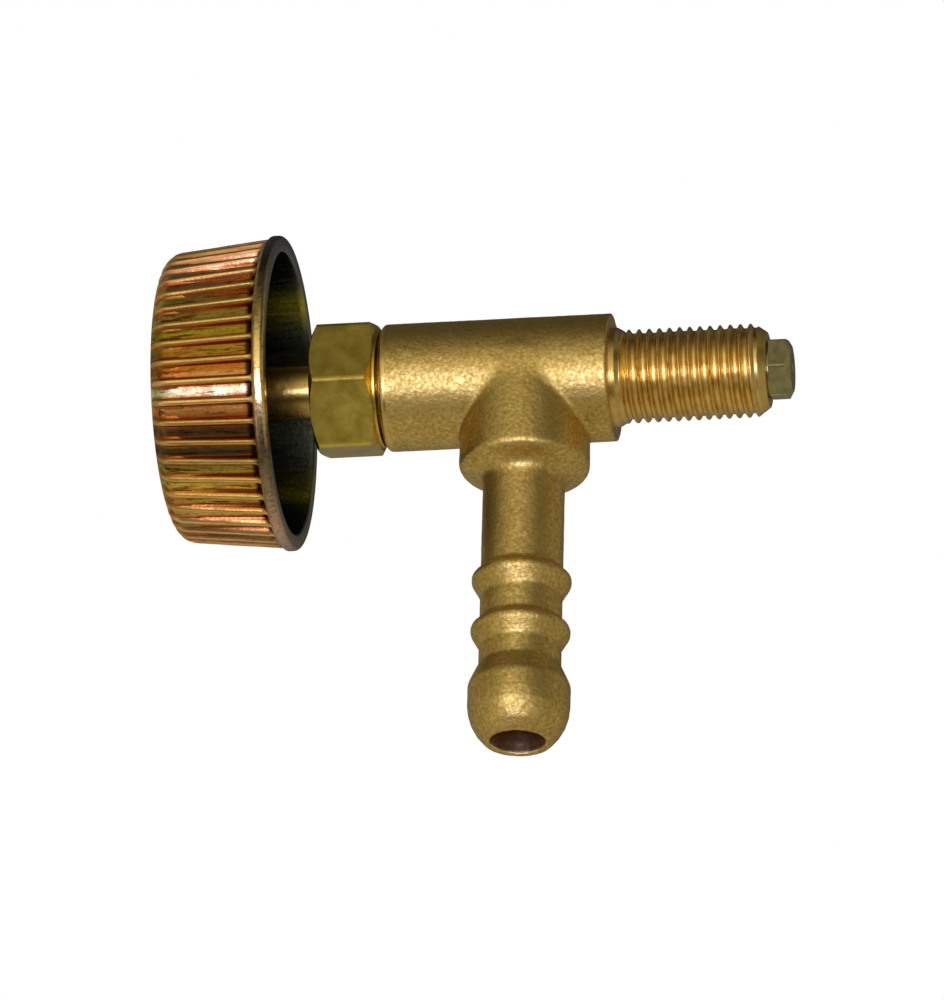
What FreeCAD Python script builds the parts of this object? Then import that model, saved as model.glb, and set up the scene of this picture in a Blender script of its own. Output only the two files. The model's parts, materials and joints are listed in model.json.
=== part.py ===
"""Needle valve with a threaded nose, a hose barb and a fluted cup handwheel.

Millimetres. The spindle lies along X and the nose points along +X. The hose barb hangs along -Z.
The origin is on the spindle axis, in the plane of the shoulder at the root of the nose, which is
the face that meets a burner or a manifold. The valve is drawn closed.
"""
import FreeCAD, Part

import math
import os

import Sketcher

# ---------------------------------------------------------------- driving dimensions

# Each row is the cell's alias, its value in millimetres (or degrees, or a count) and its meaning.
SIZES = [
    # forged body
    ("barrel_radius", 6.79, "outside of the barrel"),
    ("barrel_length", 24.5, "from the nose shoulder to the gland end"),
    ("barrel_chamfer", 0.35, "turned chamfer at the gland end"),
    ("nose_radius", 5.0, "M10 x 1 male thread, major radius"),
    ("nose_length", 16.5, "from the shoulder to the nose tip"),
    ("nose_tip_radius", 4.0, "flat end of the nose"),
    ("nose_tip_chamfer", 1.4, "length of the lead chamfer"),
    ("branch_offset", 9.43, "from the nose shoulder back to the hose barb's axis"),
    # branch and hose barb, depths are below the spindle axis
    ("boss_top_radius", 6.76, "round boss that the barb grows from, on the spindle axis"),
    ("boss_radius", 6.92, "boss at its lower edge, wider by the forging's draft"),
    ("boss_depth", 10.5, "lower edge of the boss"),
    ("boss_shoulder_drop", 1.1, "fall of the conical shoulder towards the neck"),
    ("boss_edge_round", 0.8, "rounding of the boss's lower edge"),
    ("neck_root_round", 1.1, "fillet between the shoulder and the neck"),
    ("neck_radius", 4.33, "plain neck of the barb"),
    ("ring_radius", 5.24, "crest of both hose rings"),
    ("ring_rise", 1.15, "from the middle of a hose ring up to its foot, the steep side"),
    ("ring_tail", 1.9, "from the middle of a hose ring down to its foot, the gentle side"),
    ("ring_crest", 0.6, "width of a hose ring at its crest"),
    ("ring_depth", 23.6, "middle of the upper hose ring"),
    ("ring_pitch", 5.85, "from one hose ring to the next"),
    ("ring_crest_round", 0.6, "rounding of a hose ring's crest"),
    ("ring_foot_round", 0.3, "rounding at the foot of a hose ring"),
    ("bulb_radius", 5.38, "bulb at the end of the barb"),
    ("bulb_start", 33.5, "top of the flare into the bulb"),
    ("bulb_flare", 2.3, "length of the flare"),
    ("bulb_corner", 40.3, "corner before it is rounded"),
    ("barb_depth", 42.08, "end face of the barb"),
    ("barb_tip_radius", 3.56, "outer edge of the end face"),
    ("bulb_foot_round", 0.8, "rounding where the neck meets the flare"),
    ("bulb_top_round", 1.6, "rounding from the flare into the bulb"),
    ("bulb_end_round", 5.6, "rounding of the bulb towards its end face"),
    # passages through the body
    ("inlet_radius", 2.9, "gas inlet up the barb"),
    ("inlet_top", 9.0, "where the wide inlet ends, below the spindle axis"),
    ("port_radius", 1.6, "port from the inlet into the needle chamber"),
    ("chamber_radius", 2.55, "chamber around the needle"),
    ("seat_radius", 1.0, "throat that the needle closes"),
    ("seat_depth", 2.5, "sharp edge of the seat, behind the shoulder"),
    ("jet_bore_radius", 2.52, "tapped hole for the jet"),
    ("jet_bore_depth", 7.0, "from the nose tip"),
    ("screw_bore_radius", 3.05, "tapped hole for the spindle thread"),
    ("screw_bore_start", 12.4, "end of the chamber, behind the shoulder"),
    ("gland_bore_radius", 5.03, "tapped hole for the gland nut"),
    ("gland_floor", 18.2, "floor of the gland, behind the shoulder"),
    # jet
    ("jet_across_flats", 6.0, "hexagon of the jet"),
    ("jet_head", 2.3, "thickness of the hexagon"),
    ("jet_thread_radius", 2.5, "M5 thread of the jet, major radius"),
    ("jet_shank", 5.5, "length of the jet's thread"),
    ("jet_face_step", 0.2, "washer face under the hexagon"),
    ("jet_face_radius", 2.76, "washer face under the hexagon"),
    ("jet_lead", 0.4, "lead chamfer of the jet's thread"),
    ("jet_passage_radius", 1.1, "gas passage inside the jet"),
    ("jet_orifice_radius", 0.25, "metering hole"),
    ("jet_orifice_start", 0.6, "inner end of the metering hole, from the jet's face"),
    ("jet_orifice_flare", 0.35, "countersink of the metering hole, depth and widening"),
    ("jet_passage_end", 1.2, "inner end of the drill point, from the jet's face"),
    ("jet_turn", 19.9, "how far the hexagon is turned, degrees"),
    # gland
    ("packing_outer_radius", 4.95, "packing and washers, outside"),
    ("packing_inner_radius", 2.8, "packing rings, inside"),
    ("washer_inner_radius", 2.85, "brass washers of the gland, inside"),
    ("washer_thickness", 0.8, "packing washer and follower"),
    ("packing_thickness", 0.75, "one packing ring"),
    ("gland_thread_radius", 5.0, "M10 x 1 shank of the gland nut, major radius"),
    ("gland_relief_radius", 4.4, "undercut between shank and hexagon"),
    ("gland_gap", 0.55, "from the barrel to the gland nut's hexagon"),
    ("gland_collar", 0.3, "length of the turned collar before the hexagon"),
    ("gland_collar_radius", 6.3, "turned collar"),
    ("gland_across_flats", 13.3, "hexagon of the gland nut"),
    ("gland_hexagon", 6.75, "length of the hexagon"),
    ("gland_bore", 2.83, "hole for the spindle"),
    ("gland_lead", 0.3, "lead chamfer of the shank, and how far the undercut enters the barrel"),
    ("gland_hole_flare", 0.4, "countersink of the spindle hole"),
    ("gland_turn", 17.9, "how far the hexagon is turned, degrees"),
    # spindle
    ("needle_clearance", 0.03, "between the needle and the seat's edge"),
    ("needle_half_angle", 15.0, "of the needle's cone, degrees"),
    ("needle_tip_radius", 0.25, "flat at the needle's point"),
    ("needle_shank_radius", 1.9, "behind the needle's cone"),
    ("screw_radius", 3.0, "M6 x 0.75 spindle thread, major radius"),
    ("screw_start", 12.7, "front end of the thread, behind the shoulder"),
    ("screw_length", 3.2, "length of the thread"),
    ("screw_lead", 0.5, "lead chamfer at the front of the thread"),
    ("screw_run_out", 0.25, "cone behind the thread"),
    ("stem_radius", 2.75, "polished stem"),
    ("seal_depth", 24.0, "middle of the O-ring, behind the shoulder"),
    ("seal_groove_radius", 1.9, "floor of the O-ring groove"),
    ("seal_groove_width", 1.1, "width of the O-ring groove"),
    ("seal_ring_radius", 2.38, "middle of the O-ring's section"),
    ("seal_cord_radius", 0.43, "section of the O-ring"),
    ("square_side", 4.0, "square that carries the handwheel"),
    ("stud_radius", 1.97, "M4 thread for the wheel nut, major radius"),
    ("stud_end", 48.7, "end of the stud, behind the shoulder"),
    ("stud_lead", 0.4, "chamfer at the end of the stud"),
    ("square_overlap", 0.2, "how far the stud's shoulder stays inside the wheel"),
    # handwheel, a cup that opens towards the body
    ("wheel_rim", 34.8, "open edge of the cup, behind the shoulder"),
    ("wheel_depth", 12.55, "from the open edge to the closed face"),
    ("band_radius", 16.83, "smooth band round the open edge"),
    ("band_width", 1.0, "width of the band"),
    ("rib_radius", 16.5, "rib crests beside the band"),
    ("wheel_draft", 1.15, "how much the wheel narrows by the closed face"),
    ("wheel_wall", 1.4, "wall of the cup, ribs included"),
    ("flute_depth", 0.55, "depth of the flutes between the ribs"),
    ("flute_count", 45.0, "number of flutes"),
    ("flute_share", 0.66, "part of the pitch that the flute takes"),
    ("flute_turn", 3.0, "how far the flutes are turned, degrees"),
    ("flute_ramp", 0.85, "length of the slope at a flute's start"),
    ("band_step", 0.3, "slope from the band down to the ribs"),
    ("band_round", 0.35, "rounding of the open edge"),
    ("face_round", 1.9, "rounding at the closed face"),
    ("floor_round", 1.0, "rounding inside the closed face"),
    ("dish_round", 0.6, "rounding of the dish's edge"),
    ("dish_radius", 8.4, "edge of the dished centre"),
    ("dish_floor_radius", 6.6, "floor of the dished centre"),
    ("dish_depth", 4.0, "depth of the dished centre"),
    ("face_wall", 1.2, "thickness of the closed face"),
    ("square_clearance", 0.04, "play of the wheel's hole on the square, across flats"),
    # fastening of the handwheel
    ("nut_across_flats", 7.0, "M4 wheel nut"),
    ("nut_thickness", 3.2, "M4 wheel nut"),
    ("stud_hole_radius", 2.0, "hole of the wheel nut"),
    ("plate_outer_radius", 4.5, "flat washer under the wheel nut"),
    ("plate_inner_radius", 2.15, "flat and spring washers, inside"),
    ("plate_thickness", 0.8, "flat washer"),
    ("spring_outer_radius", 3.6, "spring washer, outside"),
    ("spring_thickness", 0.9, "spring washer"),
    ("spring_split", 0.6, "gap in the spring washer"),
]

HEX_CORNER = 1.0 / (2.0 * math.cos(math.radians(30.0)))  # across flats to corner radius
HEX_BEVEL = math.tan(math.radians(30.0))                 # slope of the bevel on a hexagon's corners
GLAND_FACE_SHARE = 0.495                                 # radius of a hexagon's face, to across flats
NUT_FACE_SHARE = 0.47
JET_FACE_SHARE = 0.41
DRILL_SLOPE = math.tan(math.radians(31.0))               # cone left by a 118 degree drill
MATCH = 0.01                                             # how closely an edge is recognised
OVERRUN = 1.0                                            # how far a cut runs past the face it opens
OVERLAP = 0.1                                            # how far joined features run into each other


class Length:
    """A number together with the sheet expression that drives it."""

    def __init__(self, value, text):
        self.value = value
        self.text = text

    def __add__(self, other):
        other = as_length(other)
        return Length(self.value + other.value, "(%s + %s)" % (self.text, other.text))

    def __sub__(self, other):
        other = as_length(other)
        return Length(self.value - other.value, "(%s - %s)" % (self.text, other.text))

    def __mul__(self, other):
        other = as_length(other)
        return Length(self.value * other.value, "(%s * %s)" % (self.text, other.text))

    def __truediv__(self, other):
        other = as_length(other)
        return Length(self.value / other.value, "(%s / %s)" % (self.text, other.text))

    def __neg__(self):
        return Length(-self.value, "(0 - %s)" % self.text)


def as_length(item):
    """The item itself if it is a Length, else a fixed number as one."""
    if isinstance(item, Length):
        return item
    return Length(float(item), "%.6f" % item)


class Sheet:
    """The spreadsheet of driving dimensions; each alias reads back as a Length."""

    def __init__(self, doc):
        self.cells = doc.addObject("Spreadsheet::Sheet", "Sizes")
        for row, (alias, value, meaning) in enumerate(SIZES, start=1):
            self.cells.set("A%d" % row, alias)
            self.cells.set("B%d" % row, str(value))
            self.cells.set("C%d" % row, meaning)
            self.cells.setAlias("B%d" % row, alias)
            setattr(self, alias, Length(value, "Sizes.%s" % alias))
        doc.recompute()


doc = FreeCAD.newDocument("NeedleValve")
size = Sheet(doc)
ZERO = as_length(0)

# ---------------------------------------------------------------- building blocks


def new_body(label):
    """An empty PartDesign body that becomes one sub-part."""
    body = doc.addObject("PartDesign::Body", label)
    body.Label = label
    return body


def origin_feature(body, role):
    """One of the body's own origin planes or axes, such as XZ_Plane or X_Axis."""
    for feature in body.Origin.OriginFeatures:
        if feature.Role == role:
            return feature
    raise ValueError(role)


def bind(obj, name, length):
    """Drive one property of an object from the sheet."""
    length = as_length(length)
    setattr(obj, name, length.value)
    obj.setExpression(name, length.text)


def place_coordinate(sketch, geometry, direction, length):
    """Hold the start of a line at a signed distance from the sketch's origin."""
    length = as_length(length)
    axis_line = -2 if direction == "DistanceX" else -1
    if abs(length.value) < 1e-9:
        sketch.addConstraint(Sketcher.Constraint("PointOnObject", geometry, 1, axis_line))
        return
    if length.value > 0:
        rule = Sketcher.Constraint(direction, -1, 1, geometry, 1, length.value)
        text = length.text
    else:
        rule = Sketcher.Constraint(direction, geometry, 1, -1, 1, -length.value)
        text = "0 - %s" % length.text
    index = sketch.addConstraint(rule)
    sketch.setExpression("Constraints[%d]" % index, text)


def outline(body, name, corners, axis_x=None, tilt=None):
    """A closed polygon in the body's XZ plane, each corner bound to the sheet.

    With axis_x, a construction line parallel to the sketch's Y axis is added at that place,
    for turning the polygon about. With tilt, the plane is first turned about the X axis.
    """
    sketch = body.newObject("Sketcher::SketchObject", name)
    sketch.AttachmentSupport = [(origin_feature(body, "XZ_Plane"), "")]
    sketch.MapMode = "FlatFace"
    if tilt is not None:
        sketch.AttachmentOffset = FreeCAD.Placement(
            FreeCAD.Vector(0, 0, 0), FreeCAD.Rotation(FreeCAD.Vector(1, 0, 0), tilt.value))
        sketch.setExpression("AttachmentOffset.Rotation.Angle", tilt.text)
    points = [FreeCAD.Vector(as_length(u).value, as_length(v).value, 0) for u, v in corners]
    count = len(points)
    for index in range(count):
        sketch.addGeometry(Part.LineSegment(points[index], points[(index + 1) % count]), False)
    for index in range(count):
        sketch.addConstraint(Sketcher.Constraint("Coincident", index, 2, (index + 1) % count, 1))
    for index, (u, v) in enumerate(corners):
        place_coordinate(sketch, index, "DistanceX", u)
        place_coordinate(sketch, index, "DistanceY", v)
    if axis_x is not None:
        foot = FreeCAD.Vector(axis_x.value, 0, 0)
        line = sketch.addGeometry(Part.LineSegment(foot, foot + FreeCAD.Vector(0, 10, 0)), True)
        place_coordinate(sketch, line, "DistanceX", axis_x)
        place_coordinate(sketch, line, "DistanceY", ZERO)
        sketch.addConstraint(Sketcher.Constraint("Vertical", line))
        sketch.addConstraint(Sketcher.Constraint("DistanceY", line, 1, line, 2, 10.0))
    doc.recompute()
    return sketch


def turned(body, name, corners, cut=False, axis_x=None, angle=360.0, tilt=None):
    """Turn a polygon about the X axis, or about the vertical line at axis_x."""
    sketch = outline(body, name + "_outline", corners, axis_x, tilt)
    kind = "PartDesign::Groove" if cut else "PartDesign::Revolution"
    feature = body.newObject(kind, name)
    feature.Profile = sketch
    feature.ReferenceAxis = (sketch, ["H_Axis" if axis_x is None else "Axis0"])
    before = body.Shape.Volume if cut else 0.0
    angle = as_length(angle)
    bind(feature, "Angle", angle)
    feature.Midplane = angle.value < 360.0
    doc.recompute()
    if cut and not body.Shape.Volume < before:
        raise ValueError(name + " cuts nothing")
    return feature


def circle_edges(body, spots, along="x"):
    """Names of the round edges at given (place along the axis, radius) spots."""
    names = []
    for place, radius in spots:
        for number, edge in enumerate(body.Shape.Edges, start=1):
            curve = edge.Curve
            if not isinstance(curve, Part.Circle):
                continue
            centre = curve.Center.x if along == "x" else curve.Center.z
            same_place = abs(centre - as_length(place).value) < MATCH
            if same_place and abs(curve.Radius - as_length(radius).value) < MATCH:
                names.append("Edge%d" % number)
    if len(names) < len(spots):
        raise ValueError("an edge to round was not found on " + body.Label)
    return names


def rounded(body, name, radius, edges):
    """Round a list of edges of the body as it stands."""
    base = body.Tip
    fillet = body.newObject("PartDesign::Fillet", name)
    fillet.Base = (base, edges)
    bind(fillet, "Radius", radius)
    doc.recompute()
    if "Invalid" in fillet.State:
        raise ValueError("%s on %s: %s" % (name, body.Label, fillet.getStatusString()))


def hexagon(body, name, start, length, across_flats, turn, face_share, bevel_low=True):
    """A hexagonal prism along X, bevelled at 30 degrees; face_share sets the round of its faces."""
    prism = body.newObject("PartDesign::AdditivePrism", name)
    prism.AttachmentSupport = [(origin_feature(body, "YZ_Plane"), "")]
    prism.MapMode = "FlatFace"
    prism.Polygon = 6
    bind(prism, "Circumradius", across_flats * HEX_CORNER)
    bind(prism, "Height", length)
    turn = as_length(turn)
    prism.AttachmentOffset = FreeCAD.Placement(
        FreeCAD.Vector(0, 0, start.value), FreeCAD.Rotation(FreeCAD.Vector(0, 0, 1), turn.value))
    prism.setExpression("AttachmentOffset.Base.z", start.text)
    prism.setExpression("AttachmentOffset.Rotation.Angle", turn.text)
    doc.recompute()
    inner = across_flats * face_share
    outer = across_flats * HEX_CORNER + OVERRUN
    fall = (outer - inner) * HEX_BEVEL
    end = start + length
    bevels = {"high": [(end, inner), (end, outer), (end - fall, outer)]}
    if bevel_low:
        bevels["low"] = [(start, inner), (start, outer), (start + fall, outer)]
    for side, corners in bevels.items():
        turned(body, "%s_bevel_%s" % (name, side), corners, cut=True)


def block(body, name, kind, corner, extent):
    """A box added to or taken from a body, from its lowest X, Y, Z corner."""
    box = body.newObject(kind, name)
    box.AttachmentSupport = [(origin_feature(body, "YZ_Plane"), "")]
    box.MapMode = "FlatFace"
    for side, length in zip(("Height", "Length", "Width"), extent):
        bind(box, side, length)
    x, y, z = [as_length(item) for item in corner]
    box.AttachmentOffset = FreeCAD.Placement(FreeCAD.Vector(y.value, z.value, x.value), FreeCAD.Rotation())
    for direction, length in (("x", y), ("y", z), ("z", x)):
        box.setExpression("AttachmentOffset.Base." + direction, length.text)
    doc.recompute()
    return box


def around(body, name, feature, count):
    """Repeat one feature evenly about the X axis."""
    pattern = body.newObject("PartDesign::PolarPattern", name)
    pattern.Originals = [feature]
    pattern.Axis = (origin_feature(body, "X_Axis"), [""])
    pattern.Angle = 360.0
    pattern.Occurrences = int(count.value)
    pattern.setExpression("Occurrences", count.text)
    body.Tip = pattern
    doc.recompute()
    return pattern


def ring(label, start, thickness, inner, outer):
    """A plain flat ring on the spindle axis, from start towards the handwheel."""
    body = new_body(label)
    end = start - thickness
    turned(body, "section", [(start, inner), (start, outer), (end, outer), (end, inner)])
    return body


# ---------------------------------------------------------------- places along the spindle axis

gland_floor_x = -size.gland_floor
packing_x = gland_floor_x - size.washer_thickness
follower_x = packing_x - size.packing_thickness * 3
shank_x = follower_x - size.washer_thickness
barrel_end_x = -size.barrel_length
nut_front_x = barrel_end_x - size.gland_gap
face_x = -size.wheel_rim - size.wheel_depth
dish_x = face_x + size.dish_depth
hub_x = dish_x + size.face_wall

# ---------------------------------------------------------------- sub-parts


def make_valve_body():
    """Forged brass T: barrel, threaded nose, boss, hose barb, and the passages inside it."""
    body = new_body("valve_body")
    tip_x = size.nose_length
    turned(body, "barrel", [
        (barrel_end_x, ZERO),
        (barrel_end_x, size.barrel_radius - size.barrel_chamfer),
        (barrel_end_x + size.barrel_chamfer, size.barrel_radius),
        (ZERO, size.barrel_radius),
        (ZERO, size.nose_radius),
        (tip_x - size.nose_tip_chamfer, size.nose_radius),
        (tip_x, size.nose_tip_radius),
        (tip_x, ZERO),
    ])

    axis = -size.branch_offset
    neck = axis + size.neck_radius
    half_crest = size.ring_crest / 2
    shoulder_foot = -size.boss_depth - size.boss_shoulder_drop
    corners = [
        (axis, ZERO),
        (axis + size.boss_top_radius, ZERO),
        (axis + size.boss_radius, -size.boss_depth),
        (neck, shoulder_foot),
    ]
    ring_middles = [-size.ring_depth, -size.ring_depth - size.ring_pitch]
    for middle in ring_middles:
        corners += [
            (neck, middle + size.ring_rise),
            (axis + size.ring_radius, middle + half_crest),
            (axis + size.ring_radius, middle - half_crest),
            (neck, middle - size.ring_tail),
        ]
    corners += [
        (neck, -size.bulb_start),
        (axis + size.bulb_radius, -size.bulb_start - size.bulb_flare),
        (axis + size.bulb_radius, -size.bulb_corner),
        (axis + size.barb_tip_radius, -size.barb_depth),
        (axis, -size.barb_depth),
    ]
    turned(body, "branch", corners, axis_x=axis)

    crests = []
    feet = []
    for middle in ring_middles:
        crests += [(middle + half_crest, size.ring_radius), (middle - half_crest, size.ring_radius)]
        feet += [(middle + size.ring_rise, size.neck_radius)]
        feet += [(middle - size.ring_tail, size.neck_radius)]
    round_edges = [
        ("ring_crest_round", size.ring_crest_round, crests),
        ("ring_foot_round", size.ring_foot_round, feet),
        ("bulb_foot_round", size.bulb_foot_round, [(-size.bulb_start, size.neck_radius)]),
        ("bulb_top_round", size.bulb_top_round, [(-size.bulb_start - size.bulb_flare, size.bulb_radius)]),
        ("bulb_end_round", size.bulb_end_round, [(-size.bulb_corner, size.bulb_radius)]),
        ("boss_edge_round", size.boss_edge_round, [(-size.boss_depth, size.boss_radius)]),
        ("neck_root_round", size.neck_root_round, [(shoulder_foot, size.neck_radius)]),
    ]
    for name, radius, spots in round_edges:
        rounded(body, name, radius, circle_edges(body, spots, "z"))

    seat_x = -size.seat_depth
    seat_back_x = seat_x - (size.chamber_radius - size.seat_radius)
    jet_bore_x = tip_x - size.jet_bore_depth
    jet_drill_x = jet_bore_x - (size.jet_bore_radius - size.seat_radius) * DRILL_SLOPE
    turned(body, "spindle_passages", [
        (barrel_end_x - OVERRUN, ZERO),
        (barrel_end_x - OVERRUN, size.gland_bore_radius),
        (gland_floor_x, size.gland_bore_radius),
        (gland_floor_x, size.screw_bore_radius),
        (-size.screw_bore_start, size.screw_bore_radius),
        (-size.screw_bore_start, size.chamber_radius),
        (seat_back_x, size.chamber_radius),
        (seat_x, size.seat_radius),
        (jet_drill_x, size.seat_radius),
        (jet_bore_x, size.jet_bore_radius),
        (tip_x + OVERRUN, size.jet_bore_radius),
        (tip_x + OVERRUN, ZERO),
    ], cut=True)
    drill_point = (size.inlet_radius - size.port_radius) * DRILL_SLOPE
    turned(body, "inlet_passage", [
        (axis, ZERO),
        (axis + size.port_radius, ZERO),
        (axis + size.port_radius, -size.inlet_top + drill_point),
        (axis + size.inlet_radius, -size.inlet_top),
        (axis + size.inlet_radius, -size.barb_depth - OVERRUN),
        (axis, -size.barb_depth - OVERRUN),
    ], cut=True, axis_x=axis)
    return body


def make_jet():
    """Small hexagonal jet screwed into the nose, with its metering hole."""
    body = new_body("jet")
    seat = size.nose_length
    under = seat + size.jet_face_step
    inner_x = seat - size.jet_shank
    hexagon(body, "head", under, size.jet_head, size.jet_across_flats, size.jet_turn,
            JET_FACE_SHARE, bevel_low=False)
    turned(body, "shank", [
        (inner_x, ZERO),
        (inner_x, size.jet_thread_radius - size.jet_lead),
        (inner_x + size.jet_lead, size.jet_thread_radius),
        (seat, size.jet_thread_radius),
        (seat, size.jet_face_radius),
        (under + OVERLAP, size.jet_face_radius),
        (under + OVERLAP, ZERO),
    ])
    face = under + size.jet_head
    mouth = size.jet_orifice_radius + size.jet_orifice_flare
    turned(body, "passage", [
        (inner_x - OVERRUN, ZERO),
        (inner_x - OVERRUN, size.jet_passage_radius),
        (face - size.jet_passage_end, size.jet_passage_radius),
        (face - size.jet_orifice_start, size.jet_orifice_radius),
        (face - size.jet_orifice_flare, size.jet_orifice_radius),
        (face, mouth),
        (face + OVERRUN, mouth),
        (face + OVERRUN, ZERO),
    ], cut=True)
    return body


def make_gland_nut():
    """Hexagonal gland nut with a turned collar, whose threaded shank presses on the packing."""
    body = new_body("gland_nut")
    back_x = nut_front_x - size.gland_hexagon
    collar_x = nut_front_x + size.gland_collar
    relief_x = barrel_end_x + size.gland_lead
    hexagon(body, "hexagon", back_x, size.gland_hexagon, size.gland_across_flats,
            size.gland_turn, GLAND_FACE_SHARE)
    turned(body, "shank", [
        (nut_front_x - OVERLAP, ZERO),
        (nut_front_x - OVERLAP, size.gland_collar_radius),
        (collar_x, size.gland_collar_radius),
        (collar_x, size.gland_relief_radius),
        (relief_x, size.gland_relief_radius),
        (relief_x, size.gland_thread_radius),
        (shank_x - size.gland_lead, size.gland_thread_radius),
        (shank_x, size.gland_thread_radius - size.gland_lead),
        (shank_x, ZERO),
    ])
    turned(body, "spindle_hole", [
        (shank_x + OVERRUN, ZERO),
        (shank_x + OVERRUN, size.gland_bore),
        (back_x + size.gland_hole_flare, size.gland_bore),
        (back_x, size.gland_bore + size.gland_hole_flare),
        (back_x - OVERRUN, size.gland_bore + size.gland_hole_flare),
        (back_x - OVERRUN, ZERO),
    ], cut=True)
    return body


def make_packing():
    """Brass washer, three soft rings and a brass follower, stacked in the gland."""
    outer = size.packing_outer_radius
    ring("packing_washer", gland_floor_x, size.washer_thickness, size.washer_inner_radius, outer)
    for number, name in enumerate(("inner", "middle", "outer")):
        start = packing_x - size.packing_thickness * number
        ring("packing_ring_" + name, start, size.packing_thickness, size.packing_inner_radius, outer)
    ring("gland_follower", follower_x, size.washer_thickness, size.washer_inner_radius, outer)


def make_spindle():
    """Needle, screw, polished stem with its O-ring groove, square and stud in one piece."""
    body = new_body("spindle")
    slope = math.tan(math.radians(size.needle_half_angle.value))
    seat_x = -size.seat_depth
    at_seat = size.seat_radius - size.needle_clearance
    point_x = seat_x + (at_seat - size.needle_tip_radius) / slope
    cone_end_x = seat_x - (size.needle_shank_radius - at_seat) / slope
    screw_x = -size.screw_start
    screw_end_x = screw_x - size.screw_length
    square_end_x = dish_x + size.square_overlap
    groove_front = -size.seal_depth + size.seal_groove_width / 2
    groove_back = -size.seal_depth - size.seal_groove_width / 2
    turned(body, "stem", [
        (point_x, ZERO),
        (point_x, size.needle_tip_radius),
        (cone_end_x, size.needle_shank_radius),
        (screw_x + size.screw_lead, size.needle_shank_radius),
        (screw_x, size.screw_radius - size.screw_lead),
        (screw_x - size.screw_lead, size.screw_radius),
        (screw_end_x + size.screw_run_out, size.screw_radius),
        (screw_end_x, size.stem_radius),
        (groove_front, size.stem_radius),
        (groove_front, size.seal_groove_radius),
        (groove_back, size.seal_groove_radius),
        (groove_back, size.stem_radius),
        (square_end_x, size.stem_radius),
        (square_end_x, size.stud_radius),
        (-size.stud_end + size.stud_lead, size.stud_radius),
        (-size.stud_end, size.stud_radius - size.stud_lead),
        (-size.stud_end, ZERO),
    ])
    flat = block(body, "flat", "PartDesign::SubtractiveBox",
                 (square_end_x - OVERLAP, size.square_side / 2, -size.stem_radius),
                 (hub_x - square_end_x + OVERLAP, size.stem_radius, size.stem_radius * 2))
    around(body, "flats", flat, as_length(4))
    return body


def make_spindle_o_ring():
    """O-ring in the stem's groove; it travels with the spindle inside the gland nut."""
    seal = doc.addObject("Part::Torus", "spindle_o_ring")
    seal.Label = "spindle_o_ring"
    bind(seal, "Radius1", size.seal_ring_radius)
    bind(seal, "Radius2", size.seal_cord_radius)
    seal.Placement = FreeCAD.Placement(
        FreeCAD.Vector(-size.seal_depth.value, 0, 0), FreeCAD.Rotation(FreeCAD.Vector(0, 1, 0), 90))
    seal.setExpression("Placement.Base.x", (-size.seal_depth).text)
    doc.recompute()
    return seal


def make_handwheel():
    """Plated cup with a smooth band, fluted wall, rounded closed face and dished centre."""
    body = new_body("handwheel")
    rim_x = -size.wheel_rim
    rib_end = size.rib_radius - size.wheel_draft
    band_x = rim_x - size.band_width
    inner_rim = size.rib_radius - size.wheel_wall
    inner_end = rib_end - size.wheel_wall
    inner_floor_x = face_x + size.face_wall
    hole = size.stud_hole_radius
    turned(body, "cup", [
        (rim_x, inner_rim),
        (rim_x, size.band_radius),
        (band_x, size.band_radius),
        (band_x - size.band_step, size.rib_radius),
        (face_x, rib_end),
        (face_x, size.dish_radius),
        (dish_x, size.dish_floor_radius),
        (dish_x, hole),
        (hub_x, hole),
        (hub_x, size.dish_floor_radius + size.face_wall),
        (inner_floor_x, size.dish_radius + size.face_wall),
        (inner_floor_x, inner_end),
    ])
    round_edges = [
        ("face_round", size.face_round, (face_x, rib_end)),
        ("dish_round", size.dish_round, (face_x, size.dish_radius)),
        ("floor_round", size.floor_round, (inner_floor_x, inner_end)),
        ("band_round", size.band_round, (rim_x, size.band_radius)),
    ]
    for name, radius, spot in round_edges:
        rounded(body, name, radius, circle_edges(body, [spot]))

    # One flute: a slice of the wall between two turned outlines, as wide as its share of the pitch.
    flute_x = band_x - size.band_step
    depth = size.flute_depth
    clear = size.rib_radius + OVERRUN
    foot = rib_end - size.face_round
    flute = turned(body, "flute", [
        (flute_x, clear),
        (flute_x, size.rib_radius),
        (flute_x - size.flute_ramp, size.rib_radius - depth),
        (face_x + size.face_round, rib_end - depth),
        (face_x + depth, foot + depth),
        (face_x, foot),
        (face_x - OVERRUN, foot),
        (face_x - OVERRUN, clear),
    ], cut=True, angle=as_length(360.0) / size.flute_count * size.flute_share, tilt=size.flute_turn)
    around(body, "flutes", flute, size.flute_count)

    side = size.square_side + size.square_clearance
    block(body, "square_hole", "PartDesign::SubtractiveBox",
          (dish_x - OVERRUN, -side / 2, -side / 2), (size.face_wall + OVERRUN * 2, side, side))
    return body


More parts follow.
